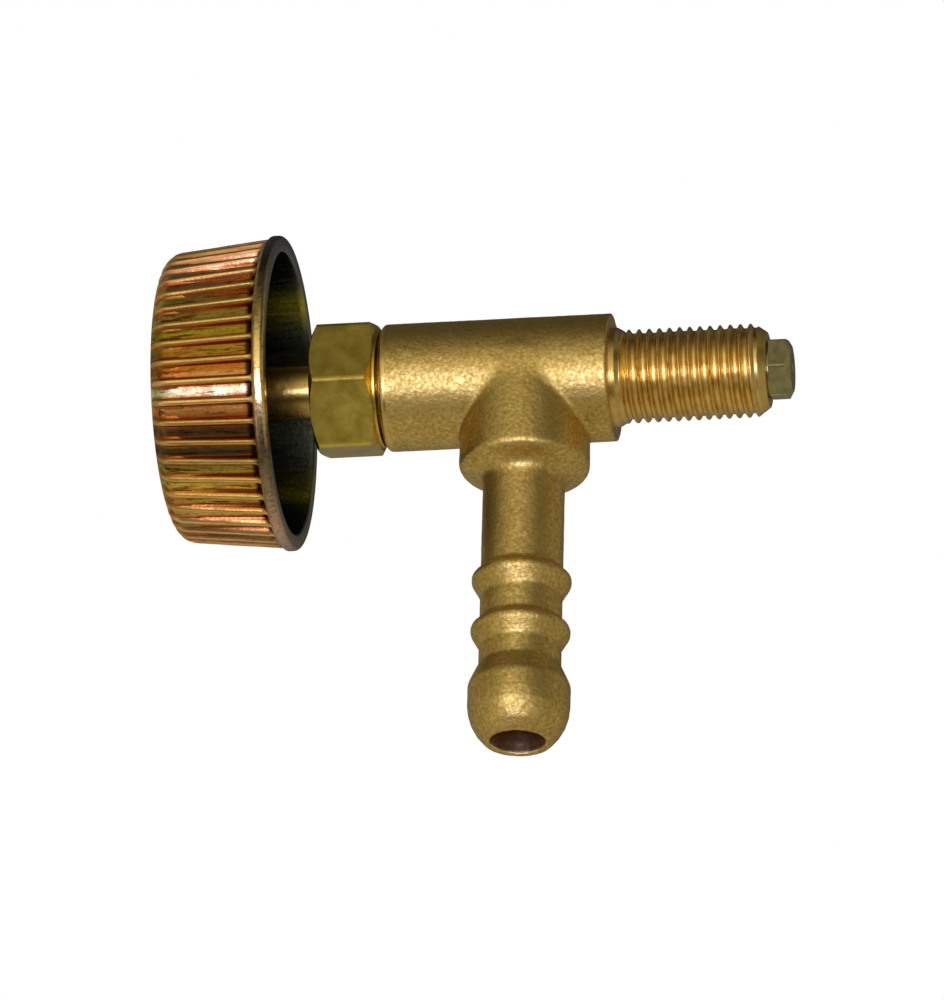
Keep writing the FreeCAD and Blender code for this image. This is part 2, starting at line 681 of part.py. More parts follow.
def make_wheel_fastening():
    """Flat washer, spring washer and nut that clamp the handwheel to the spindle's square."""
    plate_end = dish_x - size.plate_thickness
    spring_end = plate_end - size.spring_thickness
    ring("wheel_washer", dish_x, size.plate_thickness, size.plate_inner_radius, size.plate_outer_radius)

    spring = ring("wheel_spring_washer", plate_end, size.spring_thickness,
                  size.plate_inner_radius, size.spring_outer_radius)
    block(spring, "split", "PartDesign::SubtractiveBox",
          (spring_end - OVERRUN, -size.spring_split / 2, ZERO),
          (size.spring_thickness + OVERRUN * 2, size.spring_split, size.spring_outer_radius + OVERRUN))

    nut = new_body("wheel_nut")
    hexagon(nut, "hexagon", spring_end - size.nut_thickness, size.nut_thickness,
            size.nut_across_flats, ZERO, NUT_FACE_SHARE)
    nut_end = spring_end - size.nut_thickness
    turned(nut, "hole", [
        (nut_end - OVERRUN, ZERO),
        (nut_end - OVERRUN, size.stud_hole_radius),
        (spring_end + OVERRUN, size.stud_hole_radius),
        (spring_end + OVERRUN, ZERO),
    ], cut=True)


make_valve_body()
make_jet()
make_packing()
make_gland_nut()
make_spindle()
make_spindle_o_ring()
make_handwheel()
make_wheel_fastening()

# ---------------------------------------------------------------- checks and export

doc.recompute()
for item in doc.Objects:
    if "Invalid" in item.State or "Error" in item.State:
        raise ValueError("%s failed: %s" % (item.Label, item.State))

sub_parts = [item for item in doc.Objects if item.TypeId in ("PartDesign::Body", "Part::Torus")]
for item in sub_parts:
    if item.Shape.isNull() or not item.Shape.isValid():
        raise ValueError(item.Label + " has no valid shape")

os.makedirs("parts", exist_ok=True)
for item in sub_parts:
    item.Shape.exportStep("parts/%s.step" % item.Label)
    box = item.Shape.BoundBox
    print("%-20s solids %d volume %9.3f  x %.2f..%.2f  y %.2f..%.2f  z %.2f..%.2f" % (
        item.Label, len(item.Shape.Solids), item.Shape.Volume,
        box.XMin, box.XMax, box.YMin, box.YMax, box.ZMin, box.ZMax))
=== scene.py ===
"""Looks of the needle valve: detailed meshes, materials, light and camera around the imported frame.

Shapes are worked out in millimetres and turned into metres when a piece is made. The spindle lies
along X, the nose points along +X and the hose barb hangs along -Z.
"""

import json
import math

import bpy
import numpy as np
import openvdb
from mathutils import Matrix, Vector


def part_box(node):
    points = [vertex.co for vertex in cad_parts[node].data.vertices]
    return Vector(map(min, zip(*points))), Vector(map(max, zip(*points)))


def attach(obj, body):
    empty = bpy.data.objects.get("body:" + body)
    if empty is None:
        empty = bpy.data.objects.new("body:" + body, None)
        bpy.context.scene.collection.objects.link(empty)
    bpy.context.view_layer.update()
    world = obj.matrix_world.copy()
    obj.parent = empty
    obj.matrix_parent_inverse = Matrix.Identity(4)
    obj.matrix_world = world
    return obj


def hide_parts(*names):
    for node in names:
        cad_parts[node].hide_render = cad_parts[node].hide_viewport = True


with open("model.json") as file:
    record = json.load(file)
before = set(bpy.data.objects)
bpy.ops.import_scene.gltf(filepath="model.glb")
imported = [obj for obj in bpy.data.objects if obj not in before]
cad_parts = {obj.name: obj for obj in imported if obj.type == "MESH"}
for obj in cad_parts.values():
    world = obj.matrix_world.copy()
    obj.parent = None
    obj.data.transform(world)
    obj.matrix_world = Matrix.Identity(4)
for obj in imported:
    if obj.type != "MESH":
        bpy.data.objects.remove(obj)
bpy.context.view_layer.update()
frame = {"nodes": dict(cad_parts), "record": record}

MM = 0.001

# ---------------- places taken from the frame

mounts = {mount["name"]: mount for mount in frame["record"]["mounts"]}


def span_mm(node):
    """Lowest and highest corner of a CAD node, in millimetres."""
    low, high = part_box(node)
    return low / MM, high / MM


body_low, body_high = span_mm("valve_body")
jet_low, jet_high = span_mm("jet")
nut_low, nut_high = span_mm("gland_nut")
wheel_low, wheel_high = span_mm("handwheel")
spindle_low, spindle_high = span_mm("spindle")
plate_low, plate_high = span_mm("wheel_washer")
spring_low, spring_high = span_mm("wheel_spring_washer")
wheel_nut_low, wheel_nut_high = span_mm("wheel_nut")

BARREL_RADIUS = body_high.z
BARREL_END = body_low.x
NOSE_END = body_high.x
NOSE_RADIUS = mounts["nose_thread"]["dims"]["r_mm"]
BARB_END = body_low.z
BARB_AXIS = mounts["hose_barb"]["pos_m"][0] / MM
BULB_RADIUS = mounts["hose_barb"]["dims"]["r_mm"]
INLET_RADIUS = mounts["inlet_bore"]["dims"]["r_mm"]

# ---------------- outlines and meshes


def soft_outline(corners, step=0.25, closed=True):
    """Points along straight runs and rounded corners; each corner is (x, r, rounding)."""
    spots = [np.array(corner[:2], float) for corner in corners]
    rounding = [corner[2] if len(corner) > 2 else 0.0 for corner in corners]
    count = len(spots)
    bends = []
    for index in range(count):
        here = spots[index]
        if rounding[index] <= 0 or (not closed and index in (0, count - 1)):
            bends.append([here])
            continue
        back = spots[index - 1] - here
        ahead = spots[(index + 1) % count] - here
        back /= np.linalg.norm(back)
        ahead /= np.linalg.norm(ahead)
        half = math.acos(np.clip(back @ ahead, -1, 1)) / 2
        reach = rounding[index] / math.tan(half)
        middle = back + ahead
        centre = here + middle / np.linalg.norm(middle) * rounding[index] / math.sin(half)
        first = here + back * reach - centre
        last = here + ahead * reach - centre
        turn = math.atan2(first[0] * last[1] - first[1] * last[0], first @ last)
        pieces = max(3, int(math.ceil(abs(turn) / math.radians(12))))
        bend = []
        for piece in range(pieces + 1):
            angle = turn * piece / pieces
            cos, sin = math.cos(angle), math.sin(angle)
            turned_spoke = (cos * first[0] - sin * first[1], sin * first[0] + cos * first[1])
            bend.append(centre + np.array(turned_spoke))
        bends.append(bend)
    points = []
    for index in range(count):
        points += bends[index]
        if index == count - 1 and not closed:
            break
        start, end = bends[index][-1], bends[(index + 1) % count][0]
        runs = max(1, int(round(np.linalg.norm(end - start) / step)))
        points += [start + (end - start) * run / runs for run in range(1, runs)]
    return np.array(points)


def outline_normals(points):
    """Unit normals of a closed outline, on the right-hand side of its direction."""
    along = np.roll(points, -1, 0) - np.roll(points, 1, 0)
    normals = np.stack([along[:, 1], -along[:, 0]], 1)
    return normals / np.maximum(np.linalg.norm(normals, axis=1, keepdims=True), 1e-9)


def even_angles(count):
    """Angles all the way round, from +Y towards +Z."""
    return np.arange(count) * 2 * math.pi / count


def make_piece(name, points_mm, faces, body, material, stands_for=(), crease=35.0):
    """A mesh object in metres that rides on a body and takes a material."""
    mesh = bpy.data.meshes.new(name)
    mesh.from_pydata((np.asarray(points_mm, float) * MM).tolist(), [], faces)
    mesh.validate()
    mesh.update()
    piece = bpy.data.objects.new(name, mesh)
    bpy.context.scene.collection.objects.link(piece)
    mesh.shade_smooth()
    mesh.set_sharp_from_angle(angle=math.radians(crease))
    mesh.materials.append(material)
    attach(piece, body)
    if stands_for:
        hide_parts(*stands_for)
    return piece


def turned_mesh(x, r, angles, closed):
    """Points and faces of a turned grid; x and r hold one row for each outline point.

    A closed outline makes a ring. An open one starts and ends on the axis, where it is capped.
    """
    rows, columns = x.shape
    angles = np.broadcast_to(angles, (rows, columns))
    points = np.stack([x, r * np.cos(angles), r * np.sin(angles)], 2).reshape(-1, 3)
    row_pairs = rows if closed else rows - 1
    faces = []
    for row in range(row_pairs):
        here, ahead = row * columns, ((row + 1) % rows) * columns
        for column in range(columns):
            side = (column + 1) % columns
            faces.append((here + column, ahead + column, ahead + side, here + side))
    if closed:
        return points, faces
    poles = np.array([[x[0].mean(), 0, 0], [x[-1].mean(), 0, 0]])
    start, end = len(points), len(points) + 1
    last = (rows - 1) * columns
    for column in range(columns):
        side = (column + 1) % columns
        faces.append((start, column, side))
        faces.append((end, last + side, last + column))
    return np.concatenate([points, poles]), faces


def plain_rows(outline, columns):
    """Rows of x and r for a round stretch."""
    return np.repeat(outline[:, :1], columns, 1), np.repeat(outline[:, 1:2], columns, 1)


def turned(outline, angles, offset=None):
    """Turn a closed outline about X; offset moves each point along the outline's normal."""
    x, r = plain_rows(outline, len(angles))
    if offset is not None:
        normals = outline_normals(outline)
        x = x + normals[:, :1] * offset
        r = r + normals[:, 1:2] * offset
    return turned_mesh(x, r, angles, closed=True)


def smooth_step(value, low, high):
    """0 below low, 1 above high and an even rise between."""
    t = np.clip((value - low) / (high - low), 0, 1)
    return t * t * (3 - 2 * t)


def lattice_noise(points, wavelength, seed):
    """Smooth random values from -1 to 1 at points in millimetres."""
    size = 64
    lattice = np.random.default_rng(seed).uniform(-1, 1, (size, size, size))
    scaled = points / wavelength
    cell = np.floor(scaled).astype(int)
    part = scaled - cell
    part = part * part * (3 - 2 * part)
    total = 0.0
    for corner in range(8):
        step = np.array([corner & 1, corner >> 1 & 1, corner >> 2 & 1])
        weight = np.prod(np.where(step, part, 1 - part), axis=1)
        where = (cell + step) % size
        total = total + weight * lattice[where[:, 0], where[:, 1], where[:, 2]]
    return total


def thread_depth(x, angles, pitch, start, height):
    """How deep a right-hand thread is cut, from 0 at the crests to height at the roots."""
    turn = (x - start) / pitch - angles / (2 * math.pi)
    from_crest = np.abs(2 * (turn - np.round(turn)))
    crest_end, root_start = 0.03, 0.74
    return height * smooth_step(from_crest, crest_end, root_start)


# ---------------- material nodes


class Nodes:
    """Small helper that builds one procedural material."""

    def __init__(self, name):
        self.material = bpy.data.materials.new(name)
        self.material.use_nodes = True
        self.tree = self.material.node_tree
        self.shader = self.tree.nodes["Principled BSDF"]
        self.place = self.add("ShaderNodeTexCoord").outputs["Object"]

    def add(self, kind, **settings):
        node = self.tree.nodes.new(kind)
        for name, value in settings.items():
            setattr(node, name, value)
        return node

    def link(self, source, target):
        self.tree.links.new(source, target)

    def stretched(self, factors):
        """Object coordinates scaled along each axis."""
        node = self.add("ShaderNodeMapping")
        node.inputs["Scale"].default_value = factors
        self.link(self.place, node.inputs["Vector"])
        return node.outputs["Vector"]

    def noise(self, size_mm, detail=3.0, roughness=0.55, vector=None):
        """Noise whose features are about size_mm across."""
        node = self.add("ShaderNodeTexNoise")
        node.inputs["Scale"].default_value = 1.0 / (size_mm * MM)
        node.inputs["Detail"].default_value = detail
        node.inputs["Roughness"].default_value = roughness
        self.link(vector or self.place, node.inputs["Vector"])
        return node.outputs["Fac"]

    def streaks(self, factors, detail=4.0, roughness=0.7):
        """Noise of about a millimetre, squeezed by a factor along each axis."""
        return self.noise(1.0, detail, roughness, vector=self.stretched(factors))

    def ramp(self, source, stops):
        """Colours along a value; stops are (position, (r, g, b))."""
        node = self.add("ShaderNodeValToRGB")
        elements = node.color_ramp.elements
        while len(elements) < len(stops):
            elements.new(0.5)
        for element, (position, colour) in zip(elements, stops):
            element.position = position
            element.color = (*colour, 1.0)
        self.link(source, node.inputs["Fac"])
        return node.outputs["Color"]

    def attribute(self, name, output="Fac"):
        """A number or a colour stored in the mesh for each of its points."""
        return self.add("ShaderNodeAttribute", attribute_name=name).outputs[output]

    def span(self, source, low, high, from_low=0.0, from_high=1.0):
        """A value mapped onto another range."""
        node = self.add("ShaderNodeMapRange")
        node.inputs["From Min"].default_value = from_low
        node.inputs["From Max"].default_value = from_high
        node.inputs["To Min"].default_value = low
        node.inputs["To Max"].default_value = high
        self.link(source, node.inputs["Value"])
        return node.outputs["Result"]

    def mix(self, share, first, second, blend="MIX"):
        """Two colours mixed by a value or a fixed share."""
        node = self.add("ShaderNodeMix", data_type="RGBA", blend_type=blend)
        for name, source in (("Factor_Float", share), ("A_Color", first), ("B_Color", second)):
            socket = next(item for item in node.inputs if item.identifier == name)
            if isinstance(source, bpy.types.NodeSocket):
                self.link(source, socket)
            else:
                socket.default_value = (*source, 1.0) if isinstance(source, tuple) else source
        return next(item for item in node.outputs if item.identifier == "Result_Color")

    def bump(self, height, depth_mm, strength=1.0):
        """Relief in the surface, depth_mm deep."""
        node = self.add("ShaderNodeBump")
        node.inputs["Strength"].default_value = strength
        node.inputs["Distance"].default_value = depth_mm * MM
        self.link(height, node.inputs["Height"])
        return node.outputs["Normal"]

    def finish(self, colour, roughness, normal=None, metallic=1.0):
        self.link(colour, self.shader.inputs["Base Color"])
        self.shader.inputs["Metallic"].default_value = metallic
        if isinstance(roughness, bpy.types.NodeSocket):
            self.link(roughness, self.shader.inputs["Roughness"])
        else:
            self.shader.inputs["Roughness"].default_value = roughness
        if normal is not None:
            self.link(normal, self.shader.inputs["Normal"])
        return self.material


def blasted_brass():
    """Shot-blasted forging: a fine speckle over a soft golden brown."""
    nodes = Nodes("blasted_brass")
    speckle = nodes.noise(0.38, detail=2.0, roughness=0.5)
    patches = nodes.noise(2.2, detail=3.0)
    grain = nodes.ramp(speckle, [
        (0.30, (0.52, 0.35, 0.065)), (0.52, (0.71, 0.475, 0.108)), (0.72, (0.88, 0.62, 0.20))])
    tone = nodes.ramp(patches, [(0.32, (0.84, 0.80, 0.70)), (0.68, (1.0, 1.0, 1.0))])
    colour = nodes.mix(0.6, grain, tone, blend="MULTIPLY")
    roughness = nodes.span(speckle, 0.50, 0.37, 0.3, 0.75)
    pits = nodes.noise(0.34, detail=2.0, roughness=0.55)
    return nodes.finish(colour, roughness, nodes.bump(pits, 0.05, 0.8))


def machined_brass():
    """Turned brass with fine tool marks round the axis, bright and slightly orange."""
    nodes = Nodes("machined_brass")
    marks = nodes.streaks((14.0, 0.5, 0.5))
    patches = nodes.noise(1.6, detail=3.0)
    colour = nodes.ramp(patches, [(0.3, (0.66, 0.40, 0.075)), (0.7, (0.87, 0.60, 0.17))])
    roughness = nodes.span(patches, 0.24, 0.36, 0.3, 0.7)
    return nodes.finish(colour, roughness, nodes.bump(marks, 0.012, 0.6))


def drilled_brass():
    """Drilled wall of the inlet, smoother and paler than the forging."""
    nodes = Nodes("drilled_brass")
    marks = nodes.streaks((0.5, 0.5, 9.0))
    patches = nodes.noise(1.2, detail=3.0)
    colour = nodes.ramp(patches, [(0.42, (0.88, 0.58, 0.28)), (0.58, (1.0, 0.80, 0.46))])
    return nodes.finish(colour, 0.33, nodes.bump(marks, 0.02, 0.5))


def drawn_brass(name, dark, light, roughness):
    """Drawn hexagon bar: satin with faint marks along its length."""
    nodes = Nodes(name)
    marks = nodes.streaks((0.7, 9.0, 9.0), detail=5.0)
    patches = nodes.noise(1.8, detail=4.0, roughness=0.6)
    colour = nodes.ramp(patches, [(0.3, dark), (0.7, light)])
    sheen = nodes.span(patches, roughness - 0.05, roughness + 0.08, 0.3, 0.7)
    return nodes.finish(colour, sheen, nodes.bump(marks, 0.01, 0.5))


def spindle_brass():
    """Polished stem, coppery, with turning marks."""
    nodes = Nodes("spindle_brass")
    marks = nodes.streaks((16.0, 0.4, 0.4))
    patches = nodes.noise(1.2, detail=3.0)
    colour = nodes.ramp(patches, [(0.35, (1.0, 0.52, 0.10)), (0.65, (1.0, 0.74, 0.19))])
    return nodes.finish(colour, 0.25, nodes.bump(marks, 0.02, 0.6))


def yellow_zinc():
    """Chromated zinc: gold that drifts to orange, pink and green, paler and more orange on the crests,
    with painted reflections and painted shade in its colours round the wheel and inside the cup.
    """
    nodes = Nodes("yellow_zinc")
    # Colour round the wheel, with painted reflections and painted shade in it.
    tint_and_painted_light = nodes.attribute("tint_and_painted_light", "Color")
    closed_side = nodes.attribute("closed")
    drift = nodes.streaks((0.16, 0.7, 0.7), detail=3.0, roughness=0.6)
    clouds = nodes.noise(4.0, detail=4.0, roughness=0.6)
    changes = [(0.34, (0.45, 0.66, 0.40)), (0.44, (0.95, 1.0, 0.9)),
               (0.57, (1.0, 0.86, 0.85)), (0.68, (0.95, 0.50, 0.55))]
    change = nodes.mix(closed_side, nodes.ramp(drift, changes), nodes.ramp(clouds, changes))
    specks = nodes.ramp(nodes.noise(0.5, detail=2.0), [
        (0.36, (1.0, 0.56, 0.34)), (0.50, (1.0, 1.0, 1.0)), (0.64, (1.0, 0.96, 0.60))])
    drifted = nodes.mix(0.9, tint_and_painted_light, change, blend="MULTIPLY")
    coat = nodes.mix(nodes.span(closed_side, 0.7, 0.25), drifted, specks, blend="MULTIPLY")
    streaks = nodes.streaks((0.25, 2.4, 2.4))
    streaked = nodes.ramp(streaks, [(0.38, (0.18, 0.06, 0.02)), (0.50, (1.0, 1.0, 1.0))])
    soil = nodes.mix(closed_side, streaked, (1.0, 1.0, 1.0))
    floor = nodes.mix(0.9, coat, soil, blend="MULTIPLY")
    # The crests are paler and more orange.
    crest_colour = nodes.mix(0.65, coat, (1.0, 0.62, 0.15))
    crest_streaked = nodes.mix(0.35, crest_colour, soil, blend="MULTIPLY")
    outside = nodes.mix(nodes.attribute("crest"), floor, crest_streaked)
    # Painted shade, dark red-brown, along the foot of each rib.
    flank = nodes.mix(nodes.attribute("corner"), outside, (0.44, 0.11, 0.018))
    # Painted shade, near-black, in the flute floors just before the band.
    pocket_shaded = nodes.mix(nodes.attribute("pocket"), flank, (0.035, 0.010, 0.004))
    scuffs = nodes.ramp(nodes.noise(0.5, detail=4.0, roughness=0.7), [
        (0.40, (0.30, 0.22, 0.14)), (0.50, (1.0, 1.0, 1.0))])
    # Band colour round the wheel, with painted reflections and painted shade in it.
    band_coat = nodes.mix(0.55, nodes.attribute("band_tint_and_painted_light", "Color"), scuffs, blend="MULTIPLY")
    band = nodes.mix(nodes.attribute("band"), pocket_shaded, band_coat)
    edged = nodes.mix(nodes.attribute("edge"), band, (0.30, 0.32, 0.24))
    # Inside the cup: painted shade, near-black, with two painted yellow reflections.
    dark = nodes.mix(nodes.attribute("inside_painted_reflection"), (0.075, 0.080, 0.060), (0.42, 0.36, 0.030))
    colour = nodes.mix(nodes.attribute("inside"), edged, dark)
    roughness = nodes.span(streaks, 0.34, 0.15, 0.3, 0.6)
    fine = nodes.noise(0.45, detail=3.0)
    return nodes.finish(colour, roughness, nodes.bump(fine, 0.02, 0.6))


def bright_zinc():
    """Zinc plated fasteners."""
    nodes = Nodes("bright_zinc")
    patches = nodes.noise(1.5, detail=4.0)
    colour = nodes.ramp(patches, [(0.3, (0.62, 0.60, 0.50)), (0.7, (0.80, 0.78, 0.68))])
    roughness = nodes.span(patches, 0.26, 0.40, 0.3, 0.7)
    return nodes.finish(colour, roughness, nodes.bump(patches, 0.015, 0.4))


def soft_material(name, dark, light, roughness):
    """Packing and rubber."""
    nodes = Nodes(name)
    patches = nodes.noise(0.8, detail=3.0)
    colour = nodes.ramp(patches, [(0.3, dark), (0.7, light)])
    return nodes.finish(colour, roughness, nodes.bump(patches, 0.01, 0.4), metallic=0.0)


BLASTED = blasted_brass()
MACHINED = machined_brass()
DRILLED = drilled_brass()
GLAND_BRASS = drawn_brass("gland_brass", (0.60, 0.42, 0.048), (0.86, 0.61, 0.105), 0.27)
JET_BRASS = drawn_brass("jet_brass", (0.34, 0.28, 0.085), (0.60, 0.53, 0.22), 0.27)
SPINDLE_BRASS = spindle_brass()
ZINC = yellow_zinc()
BRIGHT_ZINC = bright_zinc()
PACKING = soft_material("packing_ptfe", (0.72, 0.72, 0.70), (0.86, 0.86, 0.84), 0.45)
RUBBER = soft_material("seal_rubber", (0.012, 0.012, 0.012), (0.03, 0.03, 0.03), 0.5)

# ---------------- forged body

# Heights and depths of the branch run along the barb from the spindle's axis. The places of the
# passages run along the spindle, apart from the port's and the inlet's.
CHAMFER = 0.35
BRANCH_TOP = 3.5
BRANCH_TOP_RADIUS = 5.0
BOSS_TOP = 0.9
BOSS_TOP_RADIUS = 6.76
BOSS_RADIUS = 6.92
BOSS_DEPTH = 10.5
NECK_RADIUS = 4.33
RING_RADIUS = 5.24
RING_DEPTHS = (23.6, 29.45)
BULB_START = 33.5
BULB_SHOULDER = 35.8
BULB_CORNER = 40.3
BARB_MOUTH_RADIUS = 3.56
GLAND_BORE_RADIUS = 5.03
GLAND_FLOOR = -18.2
SCREW_BORE_RADIUS = 3.05
SCREW_BORE_END = -12.4
CHAMBER_RADIUS = 2.55
CHAMBER_END = -4.05
SEAT_RADIUS = 1.0
SEAT_START = -2.5
PORT_RADIUS = 1.6
PORT_END = -8.2
INLET_END = -9.0
BRANCH_BLEND = 0.45
EDGE_SOFTNESS = 0.16
VOXEL = 0.22

# Relief left by the blasting: height and wavelength in millimetres, and seed.
BLAST_RELIEF = [(0.014, 0.42, 1), (0.007, 0.85, 2), (0.012, 4.0, 3)]

# The blasted surface lies outside the middle of the barrel's wall, and on the branch.
WALL_MIDDLE = 5.6
BRANCH_START = -5.0


def branch_outline():
    """Outline of boss, neck, rings and bulb as (radius, height) round the barb's axis."""
    corners = [
        (0.0, BRANCH_TOP),
        (BRANCH_TOP_RADIUS, BRANCH_TOP),
        (BOSS_TOP_RADIUS, BOSS_TOP, 2.0),
        (BOSS_RADIUS, -BOSS_DEPTH, 0.9),
        (NECK_RADIUS, -BOSS_DEPTH - 1.1, 1.6),
    ]
    for depth in RING_DEPTHS:
        corners += [
            (NECK_RADIUS, -depth + 1.1, 0.12),
            (RING_RADIUS, -depth + 0.3, 0.5),
            (RING_RADIUS, -depth - 0.3, 0.8),
            (NECK_RADIUS, -depth - 1.9, 0.6),
        ]
    corners += [
        (NECK_RADIUS, -BULB_START, 0.6),
        (BULB_RADIUS, -BULB_SHOULDER, 1.7),
        (BULB_RADIUS, -BULB_CORNER, 5.6),
        (BARB_MOUTH_RADIUS, BARB_END, 0.2),
        (0.0, BARB_END),
    ]
    return soft_outline(corners, step=1.0)


def passage_outline():
    """Outline of the passages along the spindle axis as (radius, x)."""
    corners = [
        (0.0, BARREL_END - 1),
        (GLAND_BORE_RADIUS, BARREL_END - 1),
        (GLAND_BORE_RADIUS, GLAND_FLOOR),
        (SCREW_BORE_RADIUS, GLAND_FLOOR),
        (SCREW_BORE_RADIUS, SCREW_BORE_END),
        (CHAMBER_RADIUS, SCREW_BORE_END),
        (CHAMBER_RADIUS, CHAMBER_END),
        (SEAT_RADIUS, SEAT_START),
        (SEAT_RADIUS, 1.0),
        (0.0, 1.0),
    ]
    return soft_outline(corners, step=1.0)


def inlet_outline():
    """Outline of the passages up the barb as (radius, height)."""
    corners = [
        (0.0, 0.0),
        (PORT_RADIUS, 0.0),
        (PORT_RADIUS, PORT_END),
        (INLET_RADIUS, INLET_END),
        (INLET_RADIUS, BARB_END - 1),
        (0.0, BARB_END - 1),
    ]
    return soft_outline(corners, step=1.0)


class TurnedField:
    """Signed distance to a turned solid, looked up in a table of (radius, place along the axis)."""

    def __init__(self, outline, low, high, step=0.05):
        self.low = np.array(low, float)
        self.step = step
        shape = np.ceil((np.array(high) - self.low) / step).astype(int) + 1
        rows, columns = np.meshgrid(*[np.arange(size) * step for size in shape], indexing="ij")
        spots = np.stack([rows, columns], 2).reshape(-1, 2) + self.low
        nearest = np.full(len(spots), 1e9)
        inside = np.zeros(len(spots), bool)
        for start, end in zip(outline, np.roll(outline, -1, 0)):
            along = end - start
            length = max(along @ along, 1e-12)
            share = np.clip((spots - start) @ along / length, 0, 1)
            gap = spots - start - share[:, None] * along
            nearest = np.minimum(nearest, (gap ** 2).sum(1))
            crosses = (start[1] > spots[:, 1]) != (end[1] > spots[:, 1])
            rise = end[1] - start[1] if abs(end[1] - start[1]) > 1e-12 else 1e-12
            at = start[0] + (spots[:, 1] - start[1]) / rise * along[0]
            inside ^= crosses & (spots[:, 0] < at)
        distance = np.sqrt(nearest)
        self.table = np.where(inside, -distance, distance).reshape(shape)

    def __call__(self, radius, place):
        top = np.array(self.table.shape) - 1.001
        row = np.clip((radius - self.low[0]) / self.step, 0, top[0])
        column = np.clip((place - self.low[1]) / self.step, 0, top[1])
        i, j = row.astype(int), column.astype(int)
        u, v = row - i, column - j
        table = self.table
        return ((1 - u) * (1 - v) * table[i, j] + u * (1 - v) * table[i + 1, j]
                + (1 - u) * v * table[i, j + 1] + u * v * table[i + 1, j + 1])


def smooth_union(first, second, blend):
    """Union of two solids with a fillet about as wide as blend."""
    share = np.clip(0.5 + 0.5 * (second - first) / blend, 0, 1)
    return second + (first - second) * share - blend * share * (1 - share)


def smooth_cut(first, second, blend):
    """What two solids share, with its new edges softened."""
    return -smooth_union(-first, -second, blend)


class ForgedField:
    """Signed distance in millimetres to the forged body without its nose."""

    def __init__(self):
        # Each table reaches a little past what it describes.
        self.branch = TurnedField(branch_outline(), (-0.5, BARB_END - 2), (9.5, BARREL_RADIUS + 2))
        self.passage = TurnedField(passage_outline(), (-0.5, BARREL_END - 2), (8.5, 2.0))
        self.inlet = TurnedField(inlet_outline(), (-0.5, BARB_END - 2), (9.5, 2.0))

    def __call__(self, points):
        x, y, z = points[:, 0], points[:, 1], points[:, 2]
        from_spindle = np.hypot(y, z)
        from_barb = np.hypot(x - BARB_AXIS, y)
        wall = from_spindle - BARREL_RADIUS
        chamfer = (from_spindle - (BARREL_RADIUS - CHAMFER) + BARREL_END - x) * math.sqrt(0.5)
        barrel = smooth_cut(wall, chamfer, EDGE_SOFTNESS)
        outside = smooth_union(barrel, self.branch(from_barb, z), BRANCH_BLEND)
        outside = smooth_cut(outside, BARREL_END - x, EDGE_SOFTNESS)
        outside = smooth_cut(outside, x, EDGE_SOFTNESS)
        holes = np.minimum(self.passage(from_spindle, x), self.inlet(from_barb, z))
        return smooth_cut(outside, -holes, EDGE_SOFTNESS)

    def slope(self, points, reach=0.02):
        """How the distance changes along X, Y and Z."""
        columns = []
        for axis in range(3):
            step = np.zeros(3)
            step[axis] = reach
            columns.append((self(points + step) - self(points - step)) / (2 * reach))
        return np.stack(columns, 1)


def surface_quads(field, low, high):
    """Points and quads on the surface where a field is zero, found on a grid of voxels."""
    shape = np.ceil((high - low) / VOXEL).astype(int)
    values = np.empty(shape, np.float32)
    rows, columns = np.meshgrid(np.arange(shape[1]), np.arange(shape[2]), indexing="ij")
    for layer in range(shape[0]):
        spots = np.stack([np.full(rows.size, layer), rows.ravel(), columns.ravel()], 1)
        values[layer] = field(spots * VOXEL + low).reshape(shape[1:])
    grid = openvdb.FloatGrid()
    grid.background = 3 * VOXEL
    grid.copyFromArray(np.clip(values, -3 * VOXEL, 3 * VOXEL))
    points, quads = grid.convertToQuads(0.0)
    points = points.astype(float) * VOXEL + low
    # Pull the points onto the true surface.
    for _ in range(3):
        slope = field.slope(points)
        steep = np.maximum((slope ** 2).sum(1), 0.05)
        points -= slope * (field(points) / steep)[:, None] * 0.9
    return points, quads


def blasted_share(points):
    """1 on the blasted outside of the forging, 0 on its machined ends and passages."""
    x, z = points[:, 0], points[:, 2]
    from_barb = np.hypot(x - BARB_AXIS, points[:, 1])
    outer = np.hypot(points[:, 1], z) > WALL_MIDDLE
    below = (z < BRANCH_START) & (from_barb > INLET_RADIUS + 0.2)
    between_ends = smooth_step(x, BARREL_END + 0.9, BARREL_END + 1.3) * smooth_step(-x, 0.1, 0.4)
    return (outer | below) * between_ends


